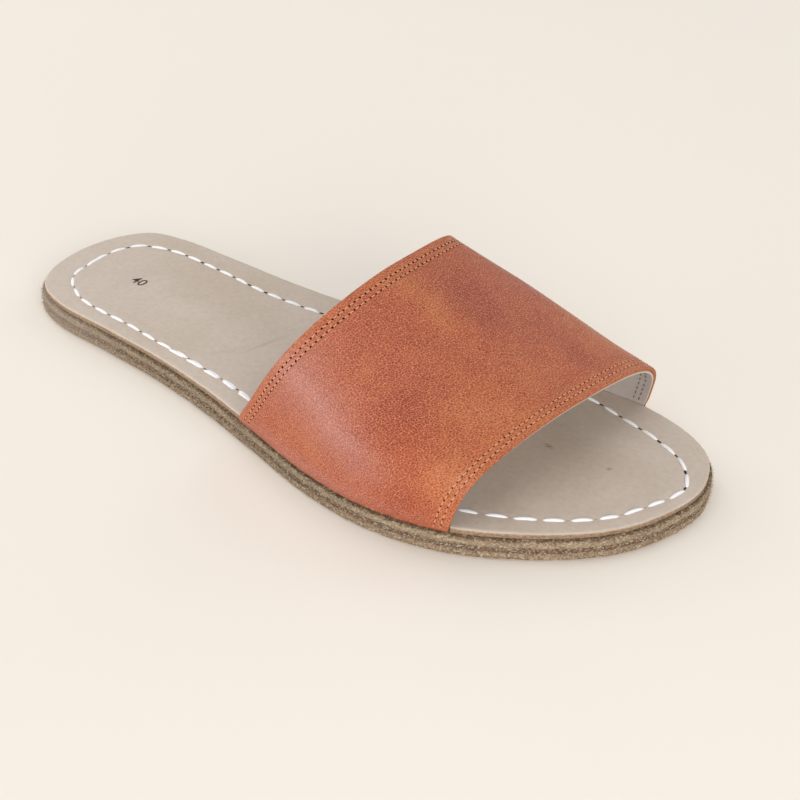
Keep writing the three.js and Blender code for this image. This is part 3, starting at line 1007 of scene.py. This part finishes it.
def new_tree(name, sockets):
    """An empty geometry tree with named inputs and their starting values, none for a material."""
    tree = bpy.data.node_groups.new(name, "GeometryNodeTree")
    for side in ("INPUT", "OUTPUT"):
        tree.interface.new_socket("Geometry", in_out=side, socket_type="NodeSocketGeometry")
    for label, value in sockets.items():
        socket = tree.interface.new_socket(label, in_out="INPUT", socket_type=SOCKET_KINDS[type(value)])
        if value is not None:
            socket.default_value = value
    return tree, add_node(tree, "NodeGroupInput").outputs


def closed_tree(tree, links, material):
    """Ends a tree: instances on points, as the links say, turned into real geometry with its material."""
    placed = add_node(tree, "GeometryNodeInstanceOnPoints", links)
    real = add_node(tree, "GeometryNodeRealizeInstances", {0: placed})
    soft = add_node(tree, "GeometryNodeSetShadeSmooth", {0: real})
    dressed = add_node(tree, "GeometryNodeSetMaterial", {0: soft, "Material": material})
    add_node(tree, "NodeGroupOutput", {0: dressed})
    return tree


def points_on_line(tree, inputs, odd):
    """Every second place along each line, and the turn that lays an instance along it."""
    line = add_node(tree, "GeometryNodeMeshToCurve", {0: inputs["Geometry"]})
    half = add_node(tree, "ShaderNodeMath", {0: inputs["Pitch"], 1: 0.5}, operation="MULTIPLY")
    even = add_node(tree, "GeometryNodeResampleCurve", {0: line, 3: half}, mode="LENGTH")
    index = add_node(tree, "GeometryNodeSplineParameter").outputs["Index"]
    parity = add_node(tree, "ShaderNodeMath", {0: index, 1: 2.0}, operation="MODULO")
    if not odd:
        parity = add_node(tree, "ShaderNodeMath", {0: 1.0, 1: parity}, operation="SUBTRACT")
    tangent = add_node(tree, "GeometryNodeInputTangent")
    outward = add_node(tree, "GeometryNodeInputNamedAttribute", {"Name": "outward"}, data_type="FLOAT_VECTOR")
    lengthways = add_node(tree, "FunctionNodeAlignRotationToVector", {"Vector": tangent}, axis="X")
    links = {"Rotation": lengthways, "Vector": outward}
    upright = add_node(tree, "FunctionNodeAlignRotationToVector", links, axis="Z", pivot_axis="X")
    return even, parity, upright


def stitch_tree():
    """Thread that runs along a line in single stitches, each diving into the leather at both ends."""
    sizes = {"Pitch": 0.0088, "Length": 0.0066, "Width": 0.0014, "Rise": 0.0006, "Dip": 0.0006}
    sockets = {**sizes, "Jitter": 0.04, "Spread": 0.1, "Seed": 3, "Thread": None}
    tree, inputs = new_tree("running_stitches", sockets)
    line, chosen, turn = points_on_line(tree, inputs, odd=False)
    length, rise, jitter, seed = (inputs[name] for name in ("Length", "Rise", "Jitter", "Seed"))
    half, back, inner, inner_back, down, radius, slack = (
        add_node(tree, "ShaderNodeMath", {0: source, 1: share}, operation="MULTIPLY")
        for source, share in (
            (length, 0.5),
            (length, -0.5),
            (length, 0.36),
            (length, -0.36),
            (inputs["Dip"], -1.0),
            (inputs["Width"], 0.5),
            (jitter, -1.0),
        )
    )
    ends = [
        add_node(tree, "ShaderNodeCombineXYZ", {"X": x, "Z": z})
        for x, z in ((back, down), (inner_back, rise), (inner, rise), (half, down))
    ]
    links = dict(zip(("Start", "Start Handle", "End Handle", "End"), ends), Resolution=10)
    arc = add_node(tree, "GeometryNodeCurvePrimitiveBezierSegment", links, mode="POSITION")
    arc = add_node(tree, "GeometryNodeResampleCurve", {0: arc, "Count": 11}, mode="COUNT")
    factor = add_node(tree, "GeometryNodeSplineParameter").outputs["Factor"]
    centred = add_node(tree, "ShaderNodeMath", {0: factor, 1: 2.0, 2: -1.0}, operation="MULTIPLY_ADD")
    away = add_node(tree, "ShaderNodeMath", {0: centred}, operation="ABSOLUTE")
    cubed = add_node(tree, "ShaderNodeMath", {0: away, 1: 3.0}, operation="POWER")
    taper = add_node(tree, "ShaderNodeMath", {0: cubed, 1: -0.6, 2: 1.0}, operation="MULTIPLY_ADD")
    ring = add_node(tree, "GeometryNodeCurvePrimitiveCircle", {"Resolution": 8, "Radius": radius})
    cord = add_node(tree, "GeometryNodeCurveToMesh", {0: arc, 1: ring, "Scale": taper, "Fill Caps": True})
    flat = add_node(tree, "GeometryNodeTransform", {0: cord, "Scale": (1.0, 1.0, 0.75)})
    # Each stitch lies a little askew and is a little longer or shorter than the next
    shortest, longest = (
        add_node(tree, "ShaderNodeMath", {0: 1.0, 1: inputs["Spread"]}, operation=kind)
        for kind in ("SUBTRACT", "ADD")
    )
    yaw, stretch = (
        add_node(tree, "FunctionNodeRandomValue", {2: low, 3: high, "Seed": seed}, data_type="FLOAT")
        for low, high in ((slack, jitter), (shortest, longest))
    )
    euler = add_node(tree, "ShaderNodeCombineXYZ", {"Z": yaw})
    askew = add_node(tree, "FunctionNodeEulerToRotation", {0: euler})
    turned = add_node(tree, "FunctionNodeRotateRotation", {0: turn, 1: askew}, rotation_space="LOCAL")
    scale = add_node(tree, "ShaderNodeCombineXYZ", {"X": stretch, "Y": 1.0, "Z": 1.0})
    links = {0: line, "Selection": chosen, "Instance": flat, "Rotation": turned, "Scale": scale}
    return closed_tree(tree, links, inputs["Thread"])


def hole_tree():
    """Small flat dark ovals between the stitches of a line: painted shade that stands for needle holes."""
    sizes = {"Pitch": 0.0088, "Length": 0.0024, "Width": 0.001, "Lift": 0.00004}
    tree, inputs = new_tree("needle_holes", {**sizes, "Spread": 0.3, "Seed": 7, "Shade": None})
    line, chosen, turn = points_on_line(tree, inputs, odd=True)
    disc = {"Vertices": 10, "Radius": 0.5}
    disc = add_node(tree, "GeometryNodeMeshCircle", disc, fill_type="TRIANGLE_FAN")
    scale = add_node(tree, "ShaderNodeCombineXYZ", {"X": inputs["Length"], "Y": inputs["Width"], "Z": 1.0})
    lift = add_node(tree, "ShaderNodeCombineXYZ", {"Z": inputs["Lift"]})
    oval = add_node(tree, "GeometryNodeTransform", {0: disc, "Scale": scale, "Translation": lift})
    smallest = add_node(tree, "ShaderNodeMath", {0: 1.0, 1: inputs["Spread"]}, operation="SUBTRACT")
    chance = {2: smallest, 3: 1.0, "Seed": inputs["Seed"]}
    size = add_node(tree, "FunctionNodeRandomValue", chance, data_type="FLOAT")
    opened = add_node(tree, "GeometryNodeInputNamedAttribute", {"Name": "open"}, data_type="FLOAT")
    size = add_node(tree, "ShaderNodeMath", {0: size, 1: opened}, operation="MULTIPLY")
    links = {0: line, "Selection": chosen, "Instance": oval, "Rotation": turn, "Scale": size}
    return closed_tree(tree, links, inputs["Shade"])


def fibre_tree():
    """Loose fibres that stand out of a raw leather edge, each a thin bent hair."""
    sizes = {"Density": 300000.0, "Length": 0.0008, "Thickness": 0.00009}
    tree, inputs = new_tree("edge_fibres", {**sizes, "Tilt": 0.9, "Seed": 5, "Fibre": None})
    length, tilt, seed = (inputs[name] for name in ("Length", "Tilt", "Seed"))
    links = {0: inputs["Geometry"], "Density": inputs["Density"], "Seed": seed}
    spread = add_node(tree, "GeometryNodeDistributePointsOnFaces", links, distribute_method="RANDOM")
    bend, knee, radius, low = (
        add_node(tree, "ShaderNodeMath", {0: source, 1: share}, operation="MULTIPLY")
        for source, share in ((length, 0.45), (length, 0.6), (inputs["Thickness"], 0.5), (tilt, -1.0))
    )
    tip = add_node(tree, "ShaderNodeCombineXYZ", {"X": bend, "Z": length})
    middle = add_node(tree, "ShaderNodeCombineXYZ", {"Z": knee})
    root = add_node(tree, "ShaderNodeCombineXYZ", {"Z": -0.0001})
    links = {"Resolution": 2, "Start": root, "Start Handle": middle, "End Handle": middle, "End": tip}
    arc = add_node(tree, "GeometryNodeCurvePrimitiveBezierSegment", links, mode="POSITION")
    ring = add_node(tree, "GeometryNodeCurvePrimitiveCircle", {"Resolution": 3, "Radius": radius})
    hair = add_node(tree, "GeometryNodeCurveToMesh", {0: arc, 1: ring, "Fill Caps": True})
    lowest = add_node(tree, "ShaderNodeCombineXYZ", {"X": low, "Y": low, "Z": -3.1})
    highest = add_node(tree, "ShaderNodeCombineXYZ", {"X": tilt, "Y": tilt, "Z": 3.1})
    chance = {0: lowest, 1: highest, "Seed": seed}
    lean = add_node(tree, "FunctionNodeRandomValue", chance, data_type="FLOAT_VECTOR")
    leaning = add_node(tree, "FunctionNodeEulerToRotation", {0: lean})
    links = {0: spread.outputs["Rotation"], 1: leaning}
    turned = add_node(tree, "FunctionNodeRotateRotation", links, rotation_space="LOCAL")
    size = add_node(tree, "FunctionNodeRandomValue", {2: 0.4, 3: 1.3, "Seed": seed}, data_type="FLOAT")
    links = {0: spread, "Instance": hair, "Rotation": turned, "Scale": size}
    return closed_tree(tree, links, inputs["Fibre"])


def made_by_nodes(name, mesh, tree, values):
    """Runs a geometry tree on a mesh and keeps the plain result as a piece."""
    piece = linked(name, mesh)
    modifier = piece.modifiers.new(tree.name, "NODES")
    modifier.node_group = tree
    for socket in tree.interface.items_tree:
        if socket.in_out == "INPUT" and socket.name in values:
            modifier[socket.identifier] = values[socket.name]
    return applied(piece)


def line_mesh(name, lines, opened=None):
    """Lines as a mesh of edges; each line is its points and outward directions in millimetres, and whether
    it closes on itself. The last value says how far the needle holes gape at each point."""
    vertices, edges, outward = [], [], []
    for points, directions, closed in lines:
        first = len(vertices)
        vertices += (np.asarray(points) * MM).tolist()
        outward += np.asarray(directions).tolist()
        edges += [(first + i, first + i + 1) for i in range(len(points) - 1)]
        if closed:
            edges.append((len(vertices) - 1, first))
    mesh = bpy.data.meshes.new(name)
    mesh.from_pydata(vertices, edges, [])
    set_values(mesh, "outward", outward, "FLOAT_VECTOR")
    set_values(mesh, "open", np.ones(len(vertices)) if opened is None else opened)
    return mesh


# Camera of the photograph, turned square onto the one shoe from the same place
CAMERA_PLACE = Vector((0.30006, 0.23652, 0.26216))
CAMERA_AIM = Vector((0.0063, 0.0341, 0.015))
CAMERA_ROLL = math.radians(2.83)
FLOOR_REACH = 4000
LAMP_AIM = Vector((0, 0.03, 0.02))

# Soft lamps: where each stands and its width and height in metres, and its share of the light
LAMPS = {
    "low_window": {"place": (1.2, -0.8, 0.12), "size": (1.3, 0.22), "share": 0.8},
    "front": {"place": (0.8, 1.0, 0.45), "size": (1.0, 0.8), "share": 0.95},
    "heel_side": {"place": (-0.3, -1.5, 0.9), "size": (1.2, 1.2), "share": 0.65},
    "back_wall": {"place": (-1.3, 0.3, 0.9), "size": (1.2, 1.2), "share": 0.35},
    "ceiling": {"place": (0.0, -0.3, 1.8), "size": (1.6, 1.6), "share": 0.8},
}


def colour_setting(name, description, hex_colour):
    words = {"name": name, "description": description, "subtype": "COLOR"}
    return FloatVectorProperty(**words, default=linear(hex_colour), min=0, max=1)


def size_setting(name, description, millimetres):
    return FloatProperty(name=name, description=description, default=millimetres * MM, unit="LENGTH")


class StageSettings(PropertyGroup):
    lens: size_setting("Lens", "Focal length of the camera", 58.0)
    light: FloatProperty(name="Lamps", description="Power of the largest lamp", default=11.7, unit="POWER")
    surround: FloatProperty(
        name="Surround", description="Brightness of the white surround", default=0.4, min=0, subtype="FACTOR"
    )
    floor: colour_setting("Floor", "Colour of the floor", "#f3ebe0")


class SoleSettings(PropertyGroup):
    stitch_pitch: size_setting("Stitch pitch", "From one seam stitch to the next", 8.8)
    stitch_length: size_setting("Stitch length", "Length of a seam stitch", 7.3)
    stitch_width: size_setting("Stitch width", "Thickness of the seam thread", 1.35)
    fibre_length: size_setting("Fibre length", "Longest loose fibre of the edges", 0.7)
    fibre_seed: IntProperty(name="Fibre seed", description="Sets the fibres' random places", default=5, min=0)
    footbed_light: colour_setting("Footbed light", "Palest footbed", "#cec0b3")
    footbed_dark: colour_setting("Footbed dark", "Darkest footbed", "#b8a693")
    footbed_edge: colour_setting("Footbed edge", "Its cut edge", "#b39678")
    fleck: colour_setting("Fleck", "Torn fibre in the edges", "#e6dac3")


class StrapSettings(PropertyGroup):
    stitch_pitch: size_setting("Stitch pitch", "From one strap stitch to the next", 2.25)
    stitch_width: size_setting("Stitch width", "Thickness of the strap's thread", 0.38)
    hole: size_setting("Needle hole", "Width of a needle hole", 0.8)
    ochre: colour_setting("Ochre", "Palest clouds of the dye", "#ba683a")
    cognac: colour_setting("Cognac", "Middle of the dye", "#a84e2a")
    brick: colour_setting("Brick", "Reddest clouds of the dye", "#93361d")
    net: colour_setting("Net", "Worn net between the pores", "#d88c60")
    pore: colour_setting("Pore", "Dark of the pores", "#80240b")
    core: colour_setting("Core", "Undyed core at a cut edge", "#bf7840")
    lining: colour_setting("Lining", "Palest lining", "#beb3ab")


class SANDAL_OT_stage(Operator):
    """Set up the camera, the soft lamps, the white surround and the pale floor"""

    bl_idname = "sandal.stage"
    bl_label = "Stage"

    def execute(self, context):
        scene, settings = context.scene, context.scene.sandal_stage
        scene.view_settings.view_transform = "Standard"
        eye = linked("camera", bpy.data.cameras.new("camera"))
        eye.data.lens = settings.lens / MM
        eye.data.sensor_width = 36.0
        eye.data.clip_start = 0.01
        forward = (CAMERA_AIM - CAMERA_PLACE).normalized()
        level = forward.cross(Vector((0, 0, 1))).normalized()
        up = level.cross(forward)
        right = level * math.cos(CAMERA_ROLL) + up * math.sin(CAMERA_ROLL)
        above = up * math.cos(CAMERA_ROLL) - level * math.sin(CAMERA_ROLL)
        turn = Matrix((right, above, -forward)).transposed()
        eye.matrix_world = Matrix.Translation(CAMERA_PLACE) @ turn.to_4x4()
        scene.camera = eye
        corners = [(x * FLOOR_REACH, y * FLOOR_REACH, 0) for x, y in ((-1, -1), (1, -1), (1, 1), (-1, 1))]
        new_piece("floor", corners, [(0, 1, 2, 3)], pale_floor(settings.floor))
        world = bpy.data.worlds.new("surround")
        world.use_nodes = True
        surround = world.node_tree.nodes["Background"].inputs
        surround["Color"].default_value = (1, 1, 1, 1)
        surround["Strength"].default_value = settings.surround
        scene.world = world
        for name, lamp in LAMPS.items():
            made = linked(name, bpy.data.lights.new(name, "AREA"))
            made.data.shape = "RECTANGLE"
            made.data.size, made.data.size_y = lamp["size"]
            made.data.energy = settings.light * lamp["share"]
            place = Vector(lamp["place"])
            aim = (LAMP_AIM - place).to_track_quat("-Z", "Y")
            made.matrix_world = Matrix.Translation(place) @ aim.to_matrix().to_4x4()
        return {"FINISHED"}


class SANDAL_OT_sole(Operator):
    """Build the raw-edged outsole and midsole"""

    bl_idname = "sandal.sole"
    bl_label = "Outsole and midsole"

    def execute(self, context):
        settings = context.scene.sandal_sole
        for layer in TORN_LAYERS:
            name, low = layer["name"], layer["low"] - layer["hang"]
            material = raw_edge_leather(name + "_leather", layer["bands"], settings.fleck, layer["flecks"])
            vertices, faces, top = torn_side(layer, low)
            faces.append(tuple(range(HALF_STEPS * 2 - 1, -1, -1)))
            ladder_top(vertices, faces, top, SOLE_RUNGS)
            fitted(new_piece(name + "_sheet", vertices, faces, material), name + "_leather", name)
        return {"FINISHED"}


class SANDAL_OT_footbed(Operator):
    """Build the footbed with its notches, seam groove and marks"""

    bl_idname = "sandal.footbed"
    bl_label = "Footbed"

    def execute(self, context):
        thickness = FOOTBED_HIGH - FOOTBED_LOW
        shape = (FOOTBED_INSET, FOOTBED_ROUNDING, LAYER_SIDE)
        vertices, faces, top = layer_side(FOOTBED_LOW, thickness, *shape, FOOTBED_SEED, FOOTBED_UNEVEN)
        faces.append(tuple(range(HALF_STEPS * 2 - 1, -1, -1)))
        first = len(vertices)
        ladder_top(vertices, faces, top, FOOTBED_RUNGS)
        points = np.array(vertices)
        inner = points[first:]
        seam = seam_distances(inner)
        for depth, distance, width in (SEAM_GROOVE, SEAM_LIP):
            inner[:, 2] -= depth * np.exp(-(((seam - distance) / width) ** 2))
        inner[:, 2] -= mark_and_shade_strength(inner, "sunk")
        piece = new_piece("footbed_sheet", points, faces, footbed_leather(context.scene.sandal_sole))
        for side in (LATERAL, MEDIAL):
            cutter = self.notch(side, piece.data.materials[0])
            cut = piece.modifiers.new("notch", "BOOLEAN")
            cut.operation = "DIFFERENCE"
            cut.solver = "EXACT"
            cut.object = cutter
            applied(piece)
            bpy.data.objects.remove(cutter)
        mesh = piece.data
        places = np.empty(len(mesh.vertices) * 3)
        mesh.vertices.foreach_get("co", places)
        places = places.reshape(-1, 3) / MM
        raw = 1 - smooth(*(FOOTBED_HIGH - depth for depth in RAW_EDGE_DEPTH), places[:, 2])
        set_values(mesh, "raw", raw)
        set_values(mesh, "mark_and_shade", np.clip(mark_and_shade_strength(places, "dark"), 0, 1))
        mesh.shade_smooth()
        mesh.set_sharp_from_angle(angle=math.radians(SHARP_EDGE))
        fitted(piece, "footbed_leather", "footbed")
        return {"FINISHED"}

    def notch(self, side, material):
        """A bent bar that cuts the room for the strap's wall and tuck on one side."""
        ends = [(edge[SIDE_NAMES[side]] - 0.5) * SHOE_LENGTH for edge in (REAR_EDGE, FRONT_EDGE)]
        y = np.linspace(ends[0] - STRAP_CLEARANCE, ends[1] + STRAP_CLEARANCE, NOTCH_STEPS)
        foot, inward = side_at(STRAP_INSET[side], y, side)
        wall, reach = STRAP_WALL + STRAP_CLEARANCE, TUCK_LENGTH + STRAP_CLEARANCE
        over = FOOTBED_LOW + TUCK_THICKNESS + STRAP_CLEARANCE
        out, low, top = NOTCH_BAR
        section = [(out, top), (wall, top), (wall, over), (reach, over), (reach, low), (out, low)]
        if side == MEDIAL:
            section.reverse()
        vertices, faces = [], []
        for place, turn in zip(foot, inward):
            vertices += [(*(place + turn * inwards), height) for inwards, height in section]
        count = len(section)
        for row in range(len(y) - 1):
            for i in range(count):
                a, b = row * count + i, row * count + (i + 1) % count
                faces.append((a, a + count, b + count, b))
        last = (len(y) - 1) * count
        faces.append(tuple(range(count)))
        faces.append(tuple(last + i for i in range(count - 1, -1, -1)))
        return new_piece("notch_bar", vertices, faces, material)


class SANDAL_OT_strap(Operator):
    """Build the strap's leather and lining"""

    bl_idname = "sandal.strap"
    bl_label = "Strap"

    def execute(self, context):
        settings = context.scene.sandal_strap
        vertices, faces, values = strap_sheet(0.0, LEATHER_WALL, 0.0, True)
        strap = new_piece("strap", vertices, faces, pull_up_leather(settings), values)
        fitted(strap, "strap_leather", "upper")
        vertices, faces, values = strap_sheet(LINING_START, STRAP_WALL, LINING_SET_BACK, False)
        lining = new_piece("strap_lining", vertices, faces, lining_leather(settings), values)
        fitted(lining, "strap_lining")
        return {"FINISHED"}


class SANDAL_OT_strap_thread(Operator):
    """Sew the double rows along the strap's rear and front edges"""

    bl_idname = "sandal.strap_thread"
    bl_label = "Strap thread"

    def execute(self, context):
        settings = context.scene.sandal_strap
        outer, inner, gape = [], [], []
        for rows, front in ((REAR_STITCHES, False), (FRONT_STITCHES, True)):
            for row in rows:
                distances = RUN[-1:] - row if front else np.full((1, ARCH_STEPS + 1), row)
                above = FROM_FOOT > FIRST_STITCH
                face, normal, _ = strap_face(distances, GROOVE_DEPTH)
                outer.append((face[0][above], -normal[0][above], False))
                gape.append(np.full(above.sum(), PIERCED_FRONT if front else 1.0))
                face, normal, _ = strap_face(distances, STRAP_WALL + INSIDE_THREAD)
                inner.append((face[0][above], normal[0][above], False))
        pitch = settings.stitch_pitch
        thread = spun_thread("tan_thread", "#c48560", "#e0ab88", 0.6)
        values = {
            "Pitch": pitch,
            "Length": pitch * STITCH_SHARE,
            "Width": settings.stitch_width,
            "Rise": 0.0003,
            "Dip": 0.0001,
            "Jitter": 0.05,
            "Spread": 0.06,
            "Seed": 11,
            "Thread": thread,
        }
        tree = stitch_tree()
        fitted(made_by_nodes("strap_thread", line_mesh("rows", outer), tree, values), "strap_thread")
        values["Thread"] = spun_thread("olive_thread", "#575046", "#827a6e", 0.6)
        fitted(made_by_nodes("strap_thread_inside", line_mesh("rows", inner), tree, values), "strap_thread")
        # The holes of the front rows have closed a little
        pierced = line_mesh("rows", outer, np.concatenate(gape))
        shade = shaded_hole("strap_hole", "#140806", "#2c130c")
        hole = {
            "Pitch": pitch,
            "Length": settings.hole,
            "Width": settings.hole * HOLE_SHARE,
            "Lift": 0.00014,
            "Spread": 0.2,
            "Shade": shade,
        }
        fitted(made_by_nodes("strap_needle_holes", pierced, hole_tree(), hole), "strap_thread")
        return {"FINISHED"}


class SANDAL_OT_sole_thread(Operator):
    """Sew the white seam around the footbed"""

    bl_idname = "sandal.sole_thread"
    bl_label = "Sole thread"

    def execute(self, context):
        settings = context.scene.sandal_sole
        length = line_length(SEAM)
        pitch = length / round(length / (settings.stitch_pitch / MM)) * MM * PITCH_TRIM
        line = np.concatenate([SEAM[:-1], np.full((len(SEAM) - 1, 1), FOOTBED_HIGH - SEAM_SUNK)], axis=1)
        up = np.tile((0.0, 0.0, 1.0), (len(line), 1))
        start, end = SECOND_RUN_ALONG
        again = (line[:, 0] > 0) & (line[:, 1] > start) & (line[:, 1] < end)
        beside = line[again] + SECOND_RUN
        thread = spun_thread("white_thread", "#e9e6ea", "#ffffff", 0.5)
        values = {
            "Pitch": pitch,
            "Length": settings.stitch_length,
            "Width": settings.stitch_width,
            "Rise": 0.0005,
            "Dip": 0.0006,
            "Jitter": 0.05,
            "Spread": 0.08,
            "Seed": 4,
            "Thread": thread,
        }
        seam = line_mesh("seam", [(line, up, True), (beside, up[again], False)])
        fitted(made_by_nodes("seam_thread", seam, stitch_tree(), values), "sole_thread")
        # The holes gape on the medial side, less at the heel, and hardly in front on the lateral side
        gape = np.where(line[:, 0] < -10, 1.0, np.where(line[:, 1] < 0, 0.6, 0.25))
        shade = shaded_hole("footbed_hole", "#1e1510", "#4a3a2e")
        hole = {"Pitch": pitch, "Length": 0.0021, "Width": 0.0009, "Lift": 0.00006, "Shade": shade}
        seam = line_mesh("seam", [(line, up, True)], gape)
        fitted(made_by_nodes("seam_holes", seam, hole_tree(), hole), "sole_thread")
        return {"FINISHED"}


class SANDAL_OT_edge_fibres(Operator):
    """Raise loose fibres from the cut edges of the sole"""

    bl_idname = "sandal.edge_fibres"
    bl_label = "Edge fibres"

    def execute(self, context):
        settings = context.scene.sandal_sole
        vertices, faces = [], []
        for layer in TORN_LAYERS:
            more, quads, _ = torn_side(layer, layer["low"])
            first = len(vertices)
            vertices += more
            above = [quad for quad in quads if min(more[i][2] for i in quad) > FIBRE_FLOOR]
            faces += [tuple(first + i for i in quad) for quad in above]
        fibre = spun_thread("loose_fibre", "#8d7c64", "#cbbb9e", 0.9)
        mesh = new_piece("edge_band", vertices, faces, fibre)
        data = mesh.data
        bpy.data.objects.remove(mesh)
        values = {
            "Density": 1600000.0,
            "Length": settings.fibre_length,
            "Thickness": 0.00011,
            "Tilt": 0.9,
            "Seed": settings.fibre_seed,
            "Fibre": fibre,
        }
        fitted(made_by_nodes("edge_fibres", data, fibre_tree(), values), "outsole_leather")
        return {"FINISHED"}


class SANDAL_OT_size_number(Operator):
    """Print the plain size number on the heel"""

    bl_idname = "sandal.size_number"
    bl_label = "Size number"

    def execute(self, context):
        words = bpy.data.curves.new("size_number", "FONT")
        words.body = "40"
        words.align_x = "CENTER"
        words.align_y = "CENTER"
        words.size = NUMBER_HEIGHT * MM
        words.extrude = NUMBER_THICKNESS * MM
        words.offset = NUMBER_WEIGHT * MM
        words.resolution_u = 6
        holder = linked("size_words", words)
        mesh = plain_mesh(holder)
        bpy.data.objects.remove(holder)
        place = Matrix.Translation(Vector((*NUMBER_PLACE, FOOTBED_HIGH + NUMBER_LIFT)) * MM)
        mesh.transform(place @ Matrix.Rotation(math.radians(90), 4, "Z"))
        mesh.materials.clear()
        mesh.materials.append(burnt_print())
        fitted(linked("size_number", mesh), "footbed_leather")
        return {"FINISHED"}


class SANDAL_PT_parts(Panel):
    """The sandal's pieces and their sizes"""

    bl_label = "Slide sandal"
    bl_idname = "SANDAL_PT_parts"
    bl_space_type = "VIEW_3D"
    bl_region_type = "UI"
    bl_category = "Sandal"

    def draw(self, context):
        for operator, settings in STEPS:
            box = self.layout.box()
            box.operator(operator.bl_idname)
            if settings:
                group = getattr(context.scene, settings)
                for name in group.__annotations__:
                    box.prop(group, name)


# Each step of the build, and the settings shown with it
STEPS = (
    (SANDAL_OT_stage, "sandal_stage"),
    (SANDAL_OT_sole, "sandal_sole"),
    (SANDAL_OT_footbed, None),
    (SANDAL_OT_strap, "sandal_strap"),
    (SANDAL_OT_strap_thread, None),
    (SANDAL_OT_sole_thread, None),
    (SANDAL_OT_edge_fibres, None),
    (SANDAL_OT_size_number, None),
)
GROUPS = {"sandal_stage": StageSettings, "sandal_sole": SoleSettings, "sandal_strap": StrapSettings}
CLASSES = (*GROUPS.values(), *(step for step, _ in STEPS), SANDAL_PT_parts)


def register():
    for kind in CLASSES:
        bpy.utils.register_class(kind)
    for name, group in GROUPS.items():
        setattr(bpy.types.Scene, name, PointerProperty(type=group))


def unregister():
    for name in GROUPS:
        delattr(bpy.types.Scene, name)
    for kind in reversed(CLASSES):
        bpy.utils.unregister_class(kind)


def main():
    register()
    bpy.ops.sandal.stage()
    bpy.ops.sandal.sole()
    bpy.ops.sandal.footbed()
    bpy.ops.sandal.strap()
    bpy.ops.sandal.strap_thread()
    bpy.ops.sandal.sole_thread()
    bpy.ops.sandal.edge_fibres()
    bpy.ops.sandal.size_number()


if __name__ == "__main__":
    main()
